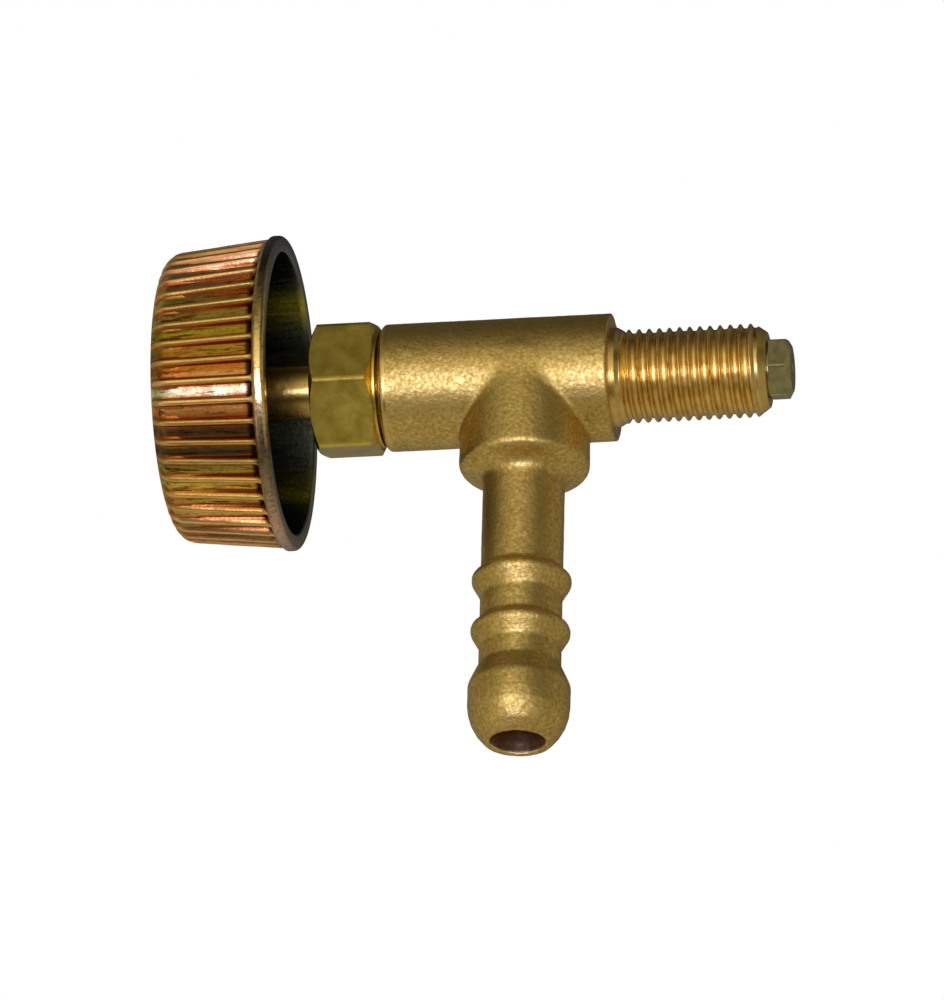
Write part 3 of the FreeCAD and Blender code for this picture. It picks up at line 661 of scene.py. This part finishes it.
def make_forged_body():
    """Barrel, boss and barb as one blended solid with the blasted grain in its surface."""
    field = ForgedField()
    low = np.array([BARREL_END - 1.0, -BARREL_RADIUS - 1.0, BARB_END - 1.0])
    high = np.array([1.0, BARREL_RADIUS + 1.0, BARREL_RADIUS + 1.0])
    points, quads = surface_quads(field, low, high)
    slope = field.slope(points)
    normals = slope / np.maximum(np.linalg.norm(slope, axis=1, keepdims=True), 1e-6)
    blasted = blasted_share(points)
    relief = sum(height * lattice_noise(points, wavelength, seed)
                 for height, wavelength, seed in BLAST_RELIEF)
    points += normals * (relief * blasted)[:, None]
    first = points[quads[:, 0]]
    sideways = np.cross(points[quads[:, 1]] - first, points[quads[:, 2]] - first)
    if (sideways * normals[quads[:, 0]]).sum() < 0:
        quads = quads[:, ::-1]
    piece = make_piece("forged_body", points, quads.tolist(), "body", BLASTED,
                       stands_for=("valve_body",), crease=60.0)
    piece.data.materials.append(MACHINED)
    piece.data.materials.append(DRILLED)
    machined = (blasted == 0)[quads].all(1)
    from_barb = np.hypot(points[:, 0] - BARB_AXIS, points[:, 1])
    in_inlet = (from_barb < INLET_RADIUS + 0.1) & (points[:, 2] < BRANCH_START)
    drilled = in_inlet[quads].all(1)
    piece.data.polygons.foreach_set("material_index", np.where(drilled, 2, machined.astype(np.int32)))
    return piece


# ---------------- turned brass pieces

NOSE_PITCH = 1.08
NOSE_THREAD_HEIGHT = 0.45
NOSE_THREAD_START = 0.35
NOSE_TIP_RADIUS = 4.0
NOSE_LEAD = 1.4
COLLAR_END = 1.0
RUN_OUT_END = 1.7
JET_HOLE_RADIUS = 2.52
JET_HOLE_FLOOR = 9.5


def make_nose():
    """Threaded nose with its run-out at the shoulder, lead chamfer and the hole for the jet."""
    inside_body = -0.3
    corners = [
        (inside_body, SEAT_RADIUS),
        (JET_HOLE_FLOOR - 0.5, SEAT_RADIUS),
        (JET_HOLE_FLOOR, JET_HOLE_RADIUS),
        (NOSE_END, JET_HOLE_RADIUS, 0.05),
        (NOSE_END, NOSE_TIP_RADIUS, 0.15),
        (NOSE_END - NOSE_LEAD, NOSE_RADIUS, 0.2),
        (COLLAR_END, NOSE_RADIUS, 0.3),
        (COLLAR_END - 0.4, NOSE_RADIUS + 0.25, 0.3),
        (inside_body, NOSE_RADIUS + 0.35),
    ]
    outline = soft_outline(corners, step=0.07)
    angles = even_angles(144)
    x, r = plain_rows(outline, len(angles))
    run_out = smooth_step(x, COLLAR_END, RUN_OUT_END)
    depth = thread_depth(x, angles, NOSE_PITCH, NOSE_THREAD_START, NOSE_THREAD_HEIGHT) * run_out
    noise_radius = np.full_like(x, 5.0)
    spots = np.stack([x, noise_radius * np.cos(angles), noise_radius * np.sin(angles)], 2)
    wear = 0.03 * lattice_noise(spots.reshape(-1, 3), 1.1, 7).reshape(x.shape)
    cut = NOSE_RADIUS - 0.02 - depth + wear * (depth > 0.01)
    r = np.where((r > NOSE_TIP_RADIUS - 0.1) & (x > COLLAR_END), np.minimum(r, cut), r)
    points, faces = turned_mesh(x, r, angles, closed=True)
    return make_piece("threaded_nose", points, faces, "body", MACHINED, crease=50.0)


def hexagon_angles(turn):
    """Angles round a hexagon, closer together at its rounded corners."""
    corner = math.radians(3.4)
    at_corner = np.linspace(-corner, corner, 5)
    along_flat = np.linspace(corner, math.pi / 3 - corner, 11)[1:-1]
    angles = []
    for side in range(6):
        middle = math.radians(turn) + side * math.pi / 3
        angles += list(middle + at_corner) + list(middle + along_flat)
    return np.array(angles)


def hexagon_radius(angles, turn, across_flats, rounding):
    """Radius of a hexagon with rounded corners at each angle."""
    offset = (angles - math.radians(turn) + math.pi / 6) % (math.pi / 3) - math.pi / 6
    flat = across_flats / 2 / np.cos(math.pi / 6 - np.abs(offset))
    corner = across_flats / 2 / math.cos(math.pi / 6)
    centre = corner - rounding / math.sin(math.pi / 3)
    reach = math.atan2(rounding * 0.5, centre + rounding * math.cos(math.pi / 6))
    sideways = centre * np.sin(offset)
    arc = centre * np.cos(offset) + np.sqrt(np.maximum(rounding ** 2 - sideways ** 2, 0))
    return np.where(np.abs(offset) < reach, arc, flat)


def hexagon_rows(start, end, face_radius, across_flats, turn, angles, rounding, start_slope=30.0):
    """Rows of x and r over the outside of a hexagonal head; each end is bevelled to face_radius."""
    end_slope = 30.0
    bevel_rows, flat_rows = 7, 15
    edge = hexagon_radius(angles, turn, across_flats, rounding)
    low = start + (edge - face_radius) * math.tan(math.radians(start_slope))
    high = end - (edge - face_radius) * math.tan(math.radians(end_slope))
    x_rows, r_rows = [], []
    for share in np.linspace(0, 1, bevel_rows):
        x_rows.append(start + (low - start) * share)
        r_rows.append(face_radius + (edge - face_radius) * share)
    for share in np.linspace(0, 1, flat_rows)[1:]:
        x_rows.append(low + (high - low) * share)
        r_rows.append(edge)
    for share in np.linspace(0, 1, bevel_rows)[1:]:
        x_rows.append(high + (end - high) * share)
        r_rows.append(edge + (face_radius - edge) * share)
    return np.array(x_rows), np.array(r_rows)


def hexagonal_piece(hexagon, rest, angles):
    """Points and faces of a hexagonal head whose open outline goes on round the rest of the piece."""
    outline = soft_outline(rest, step=0.3, closed=False)
    x, r = [np.concatenate(pair) for pair in zip(hexagon, plain_rows(outline, len(angles)))]
    return turned_mesh(x, r, angles, closed=True)


NUT_TURN = 17.9
NUT_ACROSS_FLATS = 13.3
NUT_FACE_RADIUS = 6.3
NUT_UNDERCUT_RADIUS = 4.4
NUT_SHANK_RADIUS = 5.0
NUT_BORE_RADIUS = 2.83


def make_gland_nut():
    """Hexagonal gland nut with bevelled ends, undercut, shank and spindle hole."""
    angles = hexagon_angles(NUT_TURN)
    front = BARREL_END - 0.55
    collar = front + 0.3
    shank = BARREL_END + 0.3
    hexagon = hexagon_rows(nut_low.x, front, NUT_ACROSS_FLATS * 0.495, NUT_ACROSS_FLATS, NUT_TURN,
                           angles, rounding=0.45)
    rest = [
        (front, NUT_FACE_RADIUS),
        (collar, NUT_FACE_RADIUS, 0.1),
        (collar, NUT_UNDERCUT_RADIUS),
        (shank, NUT_UNDERCUT_RADIUS),
        (shank, NUT_SHANK_RADIUS, 0.2),
        (nut_high.x, NUT_SHANK_RADIUS, 0.2),
        (nut_high.x, NUT_BORE_RADIUS),
        (nut_low.x + 0.4, NUT_BORE_RADIUS),
        (nut_low.x, NUT_BORE_RADIUS + 0.4),
        (nut_low.x, 5.9),
    ]
    points, faces = hexagonal_piece(hexagon, rest, angles)
    return make_piece("gland_nut_hexagon", points, faces, "body", GLAND_BRASS,
                      stands_for=("gland_nut",), crease=28.0)


JET_TURN = 19.9
JET_ACROSS_FLATS = 6.0
JET_FACE_RADIUS = 2.45
JET_SHANK_RADIUS = 2.5
JET_BORE_RADIUS = 1.1
METERING_RADIUS = 0.25
METERING_MOUTH_RADIUS = 0.6


def make_jet():
    """Hexagonal jet with its metering hole."""
    angles = hexagon_angles(JET_TURN)
    under = NOSE_END + 0.2
    seat_radius = JET_SHANK_RADIUS + 0.26
    hexagon = hexagon_rows(under, jet_high.x, JET_FACE_RADIUS, JET_ACROSS_FLATS, JET_TURN, angles,
                           rounding=0.2, start_slope=0.0)
    rest = [
        (jet_high.x, JET_FACE_RADIUS - 0.15),
        (jet_high.x, METERING_MOUTH_RADIUS),
        (jet_high.x - 0.35, METERING_RADIUS),
        (jet_high.x - 0.6, METERING_RADIUS),
        (jet_high.x - 1.2, JET_BORE_RADIUS),
        (jet_low.x, JET_BORE_RADIUS),
        (jet_low.x, JET_SHANK_RADIUS - 0.4),
        (jet_low.x + 0.4, JET_SHANK_RADIUS),
        (NOSE_END - 0.02, JET_SHANK_RADIUS),
        (NOSE_END + 0.02, seat_radius),
        (under, seat_radius),
    ]
    points, faces = hexagonal_piece(hexagon, rest, angles)
    return make_piece("jet_hexagon", points, faces, "body", JET_BRASS,
                      stands_for=("jet",), crease=28.0)


NEEDLE_TIP_RADIUS = 0.25
NEEDLE_RADIUS = 1.9
NEEDLE_SHOULDER = -5.97
SCREW_RADIUS = 3.0
SCREW_PITCH = 0.75
SCREW_START = -13.1
SCREW_END = -15.65
STEM_RADIUS = 2.75
RING_GROOVE_RADIUS = 1.9
RING_GROOVE = (-23.45, -24.55)
NECK_CORE_RADIUS = 2.0
STUD_RADIUS = 1.97
STUD_PITCH = 0.7
WHEEL_PLATE = 1.2


def make_spindle():
    """Needle, spindle thread, polished stem with its O-ring groove, neck and threaded stud."""
    tip = spindle_high.x
    end = spindle_low.x
    hub = plate_high.x + WHEEL_PLATE
    corners = [
        (tip, 0.0),
        (tip, NEEDLE_TIP_RADIUS),
        (NEEDLE_SHOULDER, NEEDLE_RADIUS, 0.3),
        (SCREW_START + 0.9, NEEDLE_RADIUS),
        (SCREW_START + 0.4, SCREW_RADIUS - 0.5),
        (SCREW_START, SCREW_RADIUS, 0.1),
        (SCREW_END, SCREW_RADIUS, 0.1),
        (SCREW_END - 0.25, STEM_RADIUS),
        (RING_GROOVE[0], STEM_RADIUS),
        (RING_GROOVE[0], RING_GROOVE_RADIUS),
        (RING_GROOVE[1], RING_GROOVE_RADIUS),
        (RING_GROOVE[1], STEM_RADIUS),
        (hub, STEM_RADIUS),
        (hub, NECK_CORE_RADIUS),
        (plate_high.x, NECK_CORE_RADIUS),
        (plate_high.x, STUD_RADIUS),
        (end + 0.4, STUD_RADIUS),
        (end, STUD_RADIUS - 0.47, 0.1),
        (end, 0.0),
    ]
    outline = soft_outline(corners, step=0.1, closed=False)[1:-1]
    angles = even_angles(72)
    x, r = plain_rows(outline, len(angles))
    on_screw = (x < SCREW_START + 0.3) & (x > SCREW_END - 0.05)
    on_stud = x < plate_low.x
    screw = thread_depth(x, angles, SCREW_PITCH, 0.0, 0.4) * on_screw
    stud = thread_depth(x, angles, STUD_PITCH, 0.0, 0.35) * on_stud
    r = np.maximum(np.minimum(r, np.where(on_stud, STUD_RADIUS - stud, SCREW_RADIUS - screw)), 0.02)
    points, faces = turned_mesh(x, r, angles, closed=False)
    return make_piece("spindle_stem", points, faces, "spindle", SPINDLE_BRASS,
                      stands_for=("spindle",), crease=40.0)


# ---------------- handwheel

RIBS = 45
RIB_TURN = 1.0
RIB_HALF_WIDTH = 0.23
CREST_HALF_WIDTH = 0.08
FLUTE_DEPTH_AT_BAND = 0.85
FLUTE_DEPTH_AT_FACE = 0.35
FLUTE_RAMP = 0.45
BAND_WIDTH = 1.0
BAND_HEIGHT = 0.33
BAND_STEP = 0.3
WHEEL_DRAFT = 1.15
RIB_RADIUS = 16.5
WHEEL_WALL = 1.4
WHEEL_BORE = 2.85
HUB_RADIUS = 7.8
HUB_FOOT_RADIUS = 9.6
DISH_RADIUS = 6.6
DISH_EDGE_RADIUS = 8.4
WHEEL_RIM = wheel_high.x
WHEEL_FACE = wheel_low.x
FLUTE_START = WHEEL_RIM - BAND_WIDTH - BAND_STEP
BAND_RADIUS = RIB_RADIUS + BAND_HEIGHT
RIB_END_RADIUS = RIB_RADIUS - WHEEL_DRAFT
INNER_RIM_RADIUS = RIB_RADIUS - WHEEL_WALL
WHEEL_SLOPE = WHEEL_DRAFT / (WHEEL_RIM - WHEEL_FACE)

# Colours of the chromate round the wheel, with painted reflections of the lamp and painted shade in
# them: angle in degrees from +Y towards +Z, and colour. The band at the open edge has colours of its
# own, also with painted light.
TINTS_AND_PAINTED_LIGHT = [
    (20, (0.42, 0.30, 0.05)),
    (60, (0.72, 0.36, 0.10)),
    (100, (0.80, 0.52, 0.24)),
    (110, (1.0, 0.92, 0.66)),
    (125, (1.0, 0.92, 0.62)),
    (133, (0.96, 0.66, 0.34)),
    (141, (1.0, 0.94, 0.66)),
    (149, (1.0, 0.80, 0.44)),
    (157, (0.92, 0.60, 0.20)),
    (165, (0.80, 0.56, 0.13)),
    (173, (0.60, 0.44, 0.08)),
    (181, (0.46, 0.36, 0.03)),
    (189, (0.32, 0.20, 0.020)),
    (197, (0.44, 0.17, 0.014)),
    (202, (0.96, 0.66, 0.26)),
    (205, (1.0, 1.0, 0.56)),
    (208, (1.0, 0.80, 0.34)),
    (213, (0.80, 0.34, 0.07)),
    (221, (0.17, 0.10, 0.045)),
    (226, (0.34, 0.20, 0.04)),
    (230, (0.070, 0.050, 0.036)),
    (237, (0.48, 0.33, 0.05)),
    (245, (0.86, 0.64, 0.10)),
    (253, (0.60, 0.38, 0.07)),
    (261, (1.0, 0.66, 0.19)),
    (269, (1.0, 0.70, 0.32)),
    (277, (1.0, 0.78, 0.44)),
    (300, (0.90, 0.50, 0.24)),
    (330, (0.50, 0.32, 0.06)),
]
# Colours of the band round the wheel: painted reflections of the lamp, bright from 200 to 214 degrees,
# and painted shade, dark near 110 and 228 degrees.
BAND_TINTS_AND_PAINTED_LIGHT = [
    (60, (0.20, 0.19, 0.12)),
    (110, (0.10, 0.11, 0.08)),
    (150, (0.22, 0.20, 0.10)),
    (175, (0.52, 0.36, 0.10)),
    (200, (0.96, 0.64, 0.20)),
    (214, (1.0, 0.70, 0.30)),
    (228, (0.22, 0.14, 0.08)),
    (245, (0.40, 0.27, 0.14)),
    (268, (0.78, 0.46, 0.28)),
    (320, (0.42, 0.34, 0.18)),
]


def rib_shares():
    """Places across one rib and its flute, as shares of the pitch from the rib's crest."""
    rib = np.linspace(-1, 1, 9) * RIB_HALF_WIDTH
    flute = np.linspace(RIB_HALF_WIDTH, 1 - RIB_HALF_WIDTH, 5)[1:-1]
    return np.concatenate([rib, flute])


def wheel_outline():
    """Outline of the cup: inside, hub, dished closed face, ribs and the band at the open edge."""
    dish = plate_high.x
    hub = dish + WHEEL_PLATE
    floor = WHEEL_FACE + WHEEL_PLATE
    corners = [
        (WHEEL_RIM, INNER_RIM_RADIUS, 0.25),
        (floor, RIB_END_RADIUS - WHEEL_WALL, 1.2),
        (floor, HUB_FOOT_RADIUS, 0.8),
        (hub, HUB_RADIUS, 0.9),
        (hub, WHEEL_BORE),
        (dish, WHEEL_BORE),
        (dish, DISH_RADIUS, 0.5),
        (WHEEL_FACE, DISH_EDGE_RADIUS, 0.7),
        (WHEEL_FACE, RIB_END_RADIUS, 1.9),
    ]
    # Extra rows where the flutes run out before the band.
    for back in (1.05, 0.85, 0.65, 0.45, 0.3, 0.15):
        corners.append((FLUTE_START - back, RIB_RADIUS - back * WHEEL_SLOPE))
    corners += [
        (FLUTE_START, RIB_RADIUS, 0.1),
        (WHEEL_RIM - BAND_WIDTH, BAND_RADIUS, 0.2),
        (WHEEL_RIM, BAND_RADIUS, 0.45),
    ]
    return soft_outline(corners, step=0.5)


def make_handwheel():
    """Fluted cup: smooth band, narrow round-topped ribs, rounded closed face and dished centre."""
    outline = wheel_outline()
    shares = rib_shares()
    pitch = 2 * math.pi / RIBS
    angles = np.concatenate([math.radians(RIB_TURN) + (rib + shares) * pitch for rib in range(RIBS)])
    grid = (len(outline), len(angles))
    x, r = outline[:, :1], outline[:, 1:2]
    from_crest = np.abs((shares + 0.5) % 1.0 - 0.5)
    down_flank = np.clip((from_crest - CREST_HALF_WIDTH) / (RIB_HALF_WIDTH - CREST_HALF_WIDTH), 0, 1)
    floor_share = np.tile(0.5 - 0.5 * np.cos(math.pi * down_flank), RIBS)
    ramp = smooth_step(FLUTE_START - x, 0.0, FLUTE_RAMP)
    outer = (r > INNER_RIM_RADIUS + 0.2 + (x - WHEEL_RIM) * WHEEL_SLOPE) & (x < FLUTE_START)
    # The flutes fade out over the rounded edge of the closed face.
    fluted = ramp * outer * smooth_step(r, RIB_END_RADIUS - 2.6, RIB_END_RADIUS - 1.6)
    deeper = FLUTE_DEPTH_AT_BAND - FLUTE_DEPTH_AT_FACE
    depth = FLUTE_DEPTH_AT_FACE + deeper * (x - WHEEL_FACE) / (WHEEL_RIM - WHEEL_FACE)
    normals = outline_normals(outline)
    outward = 1.0 if normals[np.argmax(outline[:, 1]), 1] > 0 else -1.0
    spots = np.stack([np.broadcast_to(x, grid), r * np.cos(angles), r * np.sin(angles)], 2)
    uneven = 0.02 * lattice_noise(spots.reshape(-1, 3), 1.5, 11).reshape(grid)
    offset = (uneven * outer - depth * fluted * floor_share) * outward
    points, faces = turned(outline, angles, offset=offset)
    wheel = make_piece("fluted_cup", points, faces, "spindle", ZINC,
                       stands_for=("handwheel",), crease=50.0)
    at_foot = np.tile(np.exp(-((from_crest - RIB_HALF_WIDTH + 0.03) / 0.07) ** 2), RIBS)
    on_ribs = ramp * outer
    before_band = smooth_step(x, FLUTE_START - 1.0, FLUTE_START - 0.7)
    paint_values(wheel, "crest", (1 - floor_share) * on_ribs, grid)
    # Painted shade along the foot of each rib.
    paint_values(wheel, "corner", at_foot * on_ribs, grid)
    # Painted shade in the flute floors just before the band.
    paint_values(wheel, "pocket", before_band * floor_share * outer, grid)
    paint_cup(wheel, outline, np.degrees(angles) % 360)
    return wheel


def paint_cup(wheel, outline, degrees):
    """Values for the wheel's material that tell its inside, closed face, edge and band apart."""
    grid = (len(outline), len(degrees))
    x, r = outline[:, :1], outline[:, 1:2]
    # The outline starts at the open edge and reaches the closed face through the bore.
    open_side = np.arange(len(outline))[:, None] < np.argmax(outline[:, 1] < WHEEL_BORE + 0.01)
    # The inside of the cup is where the material paints shade.
    inside = smooth_step(INNER_RIM_RADIUS + 0.35 - r, 0.0, 0.4) * open_side
    closed_side = smooth_step(RIB_END_RADIUS - r, 0.6, 1.8) * ~open_side
    at_edge = np.exp(-((r - INNER_RIM_RADIUS - 0.25) / 0.2) ** 2) * (x > WHEEL_RIM - 0.4)
    band = (x > FLUTE_START + 0.05) * (r > INNER_RIM_RADIUS + 0.3)
    # Painted reflections: two places inside the cup where the plating is painted shining yellow.
    inside_painted_reflection = 0.9 * np.exp(-((degrees - 66) / 8) ** 2) + 0.6 * np.exp(-((degrees - 343) / 8) ** 2)
    paint_values(wheel, "inside", inside, grid)
    paint_values(wheel, "closed", closed_side, grid)
    paint_values(wheel, "edge", at_edge, grid)
    paint_values(wheel, "inside_painted_reflection", inside_painted_reflection, grid)
    paint_values(wheel, "band", band, grid)
    # Colours round the wheel, with painted reflections and painted shade in them.
    paint_colours(wheel, "tint_and_painted_light", TINTS_AND_PAINTED_LIGHT, degrees, grid)
    # Band colours with painted reflections and painted shade in them.
    paint_colours(wheel, "band_tint_and_painted_light", BAND_TINTS_AND_PAINTED_LIGHT, degrees, grid)


def paint_values(piece, name, values, grid):
    """Store a number for each point of a turned piece, for its material to read."""
    attribute = piece.data.attributes.new(name, "FLOAT", "POINT")
    values = np.ascontiguousarray(np.broadcast_to(values, grid), np.float32)
    attribute.data.foreach_set("value", values.ravel())


def paint_colours(piece, name, stops, degrees, grid):
    """Store a colour for each point, read between stops round the wheel."""
    places = [place for place, colour in stops]
    parts = [np.interp(degrees, places, [colour[part] for place, colour in stops], period=360)
             for part in range(3)]
    colours = np.stack(parts + [np.ones(len(degrees))], 1)
    attribute = piece.data.attributes.new(name, "FLOAT_COLOR", "POINT")
    colours = np.ascontiguousarray(np.broadcast_to(colours, (*grid, 4)), np.float32)
    attribute.data.foreach_set("color", colours.ravel())


WASHER_BORE = 2.15
WASHER_RADIUS = 4.5
SPRING_RADIUS = 3.6
SPRING_HALF_GAP = 0.1
WHEEL_NUT_ACROSS_FLATS = 7.0
WHEEL_NUT_BORE = 2.02
WHEEL_NUT_MOUTH = 2.3


def make_flat_washer():
    """Flat washer against the closed face of the wheel."""
    corners = [
        (plate_low.x, WASHER_BORE, 0.05),
        (plate_high.x, WASHER_BORE, 0.05),
        (plate_high.x, WASHER_RADIUS, 0.1),
        (plate_low.x, WASHER_RADIUS, 0.15),
    ]
    points, faces = turned(soft_outline(corners, step=0.4), even_angles(96))
    make_piece("flat_washer", points, faces, "spindle", BRIGHT_ZINC,
               stands_for=("wheel_washer",))


def make_spring_washer():
    """Split spring washer; the gap is at +Z."""
    corners = [
        (spring_low.x, WASHER_BORE, 0.05),
        (spring_high.x, WASHER_BORE, 0.05),
        (spring_high.x, SPRING_RADIUS, 0.1),
        (spring_low.x, SPRING_RADIUS, 0.1),
    ]
    section = soft_outline(corners, step=0.4)
    columns = 80
    gap = math.pi / 2
    angles = np.linspace(gap + SPRING_HALF_GAP, gap + 2 * math.pi - SPRING_HALF_GAP, columns)
    x, r = plain_rows(section, columns)
    points, faces = turned_mesh(x, r, angles, closed=True)
    faces = [face for index, face in enumerate(faces) if index % columns != columns - 1]
    rows = range(len(section))
    faces.append(tuple(row * columns for row in rows))
    faces.append(tuple(row * columns + columns - 1 for row in reversed(rows)))
    make_piece("spring_washer", points, faces, "spindle", BRIGHT_ZINC,
               stands_for=("wheel_spring_washer",))


def make_wheel_nut():
    """Hexagon nut on the stud."""
    start, end = wheel_nut_low.x, wheel_nut_high.x
    angles = hexagon_angles(0.0)
    hexagon = hexagon_rows(start, end, WHEEL_NUT_ACROSS_FLATS * 0.47, WHEEL_NUT_ACROSS_FLATS, 0.0,
                           angles, rounding=0.1)
    hole = [
        (end, WHEEL_NUT_MOUTH),
        (end - 0.25, WHEEL_NUT_BORE),
        (start + 0.25, WHEEL_NUT_BORE),
        (start, WHEEL_NUT_MOUTH),
    ]
    points, faces = hexagonal_piece(hexagon, hole, angles)
    make_piece("hexagon_nut", points, faces, "spindle", BRIGHT_ZINC,
               stands_for=("wheel_nut",), crease=28.0)


def dress_hidden_pieces():
    """Materials for the CAD pieces that stay as they are, inside the gland."""
    dress = {
        "packing_washer": MACHINED,
        "gland_follower": MACHINED,
        "spindle_o_ring": RUBBER,
        "packing_ring_inner": PACKING,
        "packing_ring_middle": PACKING,
        "packing_ring_outer": PACKING,
    }
    for node, material in dress.items():
        mesh = frame["nodes"][node].data
        mesh.materials.clear()
        mesh.materials.append(material)


make_forged_body()
make_nose()
make_gland_nut()
make_jet()
make_spindle()
make_handwheel()
make_flat_washer()
make_spring_washer()
make_wheel_nut()
dress_hidden_pieces()

# ---------------- light, floor and camera

LOOK_AT = Vector((-14.94, 0.0, -13.73)) * MM
CAMERA_AZIMUTH = 9.44
CAMERA_ELEVATION = -26.37
CAMERA_ROLL = 1.55
CAMERA_DISTANCE = 0.841
CAMERA_LENS = 287.2
SENSOR_WIDTH = 36.0


def direction(azimuth, elevation):
    """Unit vector from the object towards an azimuth (0 is -Y, 90 is +X) and elevation."""
    a, e = math.radians(azimuth), math.radians(elevation)
    return Vector((math.sin(a) * math.cos(e), -math.cos(a) * math.cos(e), math.sin(e)))


def make_camera():
    """A long lens that sees the valve from below, turned a little towards its nose."""
    back = direction(CAMERA_AZIMUTH, CAMERA_ELEVATION)
    level = Vector((math.cos(math.radians(CAMERA_AZIMUTH)), math.sin(math.radians(CAMERA_AZIMUTH)), 0))
    up = back.cross(level)
    roll = math.radians(CAMERA_ROLL)
    right = level * math.cos(roll) + up * math.sin(roll)
    top = up * math.cos(roll) - level * math.sin(roll)
    camera = bpy.data.objects.new("camera", bpy.data.cameras.new("camera"))
    bpy.context.scene.collection.objects.link(camera)
    turn = Matrix((right, top, back)).transposed().to_4x4()
    camera.matrix_world = Matrix.Translation(LOOK_AT + back * CAMERA_DISTANCE) @ turn
    camera.data.lens = CAMERA_LENS
    camera.data.sensor_width = SENSOR_WIDTH
    camera.data.clip_start = 0.01
    camera.data.clip_end = 20.0
    bpy.context.scene.camera = camera


def soft_box(name, azimuth, elevation, distance, size, watts, colour):
    """A square studio light that faces the object."""
    lamp = bpy.data.lights.new(name, "AREA")
    lamp.size = size
    lamp.energy = watts
    lamp.color = colour
    light = bpy.data.objects.new(name, lamp)
    bpy.context.scene.collection.objects.link(light)
    towards = direction(azimuth, elevation)
    light.location = LOOK_AT + towards * distance
    light.rotation_mode = "QUATERNION"
    light.rotation_quaternion = (-towards).to_track_quat("-Z", "Y")
    light.visible_camera = False
    return light


FLOOR_RADIUS = 3.0
FLOOR_HEIGHT = -0.43
FLOOR_GLOW = 0.5


def make_floor():
    """A pale, faintly glowing floor well below the valve that the metal does not reflect."""
    rim = [(FLOOR_RADIUS * math.cos(angle), FLOOR_RADIUS * math.sin(angle), FLOOR_HEIGHT)
           for angle in even_angles(96)]
    mesh = bpy.data.meshes.new("floor")
    mesh.from_pydata(rim, [], [tuple(range(len(rim)))])
    floor = bpy.data.objects.new("floor", mesh)
    bpy.context.scene.collection.objects.link(floor)
    material = bpy.data.materials.new("pale_floor")
    material.use_nodes = True
    shader = material.node_tree.nodes["Principled BSDF"]
    shader.inputs["Base Color"].default_value = (0.82, 0.82, 0.81, 1)
    shader.inputs["Roughness"].default_value = 0.7
    shader.inputs["Emission Color"].default_value = (1.0, 1.0, 0.99, 1)
    shader.inputs["Emission Strength"].default_value = FLOOR_GLOW
    mesh.materials.append(material)
    floor.visible_glossy = False


# Soft patches of the studio as the metal reflects it: azimuth, elevation, half-width and brightness.
AMBIENT = (0.36, 0.35, 0.33)
DARKEST_SHARE = 0.03
PATCHES = [
    (-8, 4, 20, 0.70),
    (-150, -62, 28, 0.12),
    (-60, -30, 12, 0.30),
    (56, 22, 20, -0.24),
    (0, -56, 18, -0.30),
    (0, -82, 12, 0.12),
    (0, 78, 36, -0.30),
    (180, 35, 32, -0.28),
]


def make_world():
    """White behind the object; its reflections see an uneven grey studio instead."""
    world = bpy.data.worlds.new("studio")
    bpy.context.scene.world = world
    world.use_nodes = True
    tree = world.node_tree
    tree.nodes.clear()

    def node(kind, *sources, **settings):
        new = tree.nodes.new(kind)
        for name, value in settings.items():
            setattr(new, name, value)
        for socket, source in zip(new.inputs, sources):
            if isinstance(source, bpy.types.NodeSocket):
                tree.links.new(source, socket)
            elif source is not None:
                socket.default_value = source
        return new.outputs

    place = node("ShaderNodeTexCoord")["Generated"]
    total = 1.0
    for azimuth, elevation, half_width, brightness in PATCHES:
        towards = direction(azimuth, elevation)
        facing = node("ShaderNodeVectorMath", place, tuple(towards), operation="DOT_PRODUCT")["Value"]
        sharpness = math.log(2) / (1 - math.cos(math.radians(half_width)))
        fall = node("ShaderNodeMath", facing, sharpness, -sharpness, operation="MULTIPLY_ADD")[0]
        spread = node("ShaderNodeMath", fall, operation="EXPONENT")[0]
        share = brightness / AMBIENT[1]
        total = node("ShaderNodeMath", spread, share, total, operation="MULTIPLY_ADD")[0]
    level = node("ShaderNodeMath", total, DARKEST_SHARE, operation="MAXIMUM")[0]
    studio = node("ShaderNodeBackground", (*AMBIENT, 1.0), level)[0]
    backdrop = node("ShaderNodeBackground", (1.0, 1.0, 1.0, 1.0), 1.0)[0]
    seen = node("ShaderNodeLightPath")["Is Camera Ray"]
    output = node("ShaderNodeMixShader", seen, studio, backdrop)[0]
    node("ShaderNodeOutputWorld", output)


make_camera()
make_floor()
make_world()
soft_box("key", azimuth=-6.5, elevation=-20.0, distance=0.7, size=0.19, watts=1.28,
         colour=(0.82, 0.88, 1.80))
soft_box("side", azimuth=22.0, elevation=-22.0, distance=0.7, size=0.12, watts=0.40,
         colour=(0.85, 0.93, 1.60))
bpy.context.scene.view_settings.view_transform = "Standard"
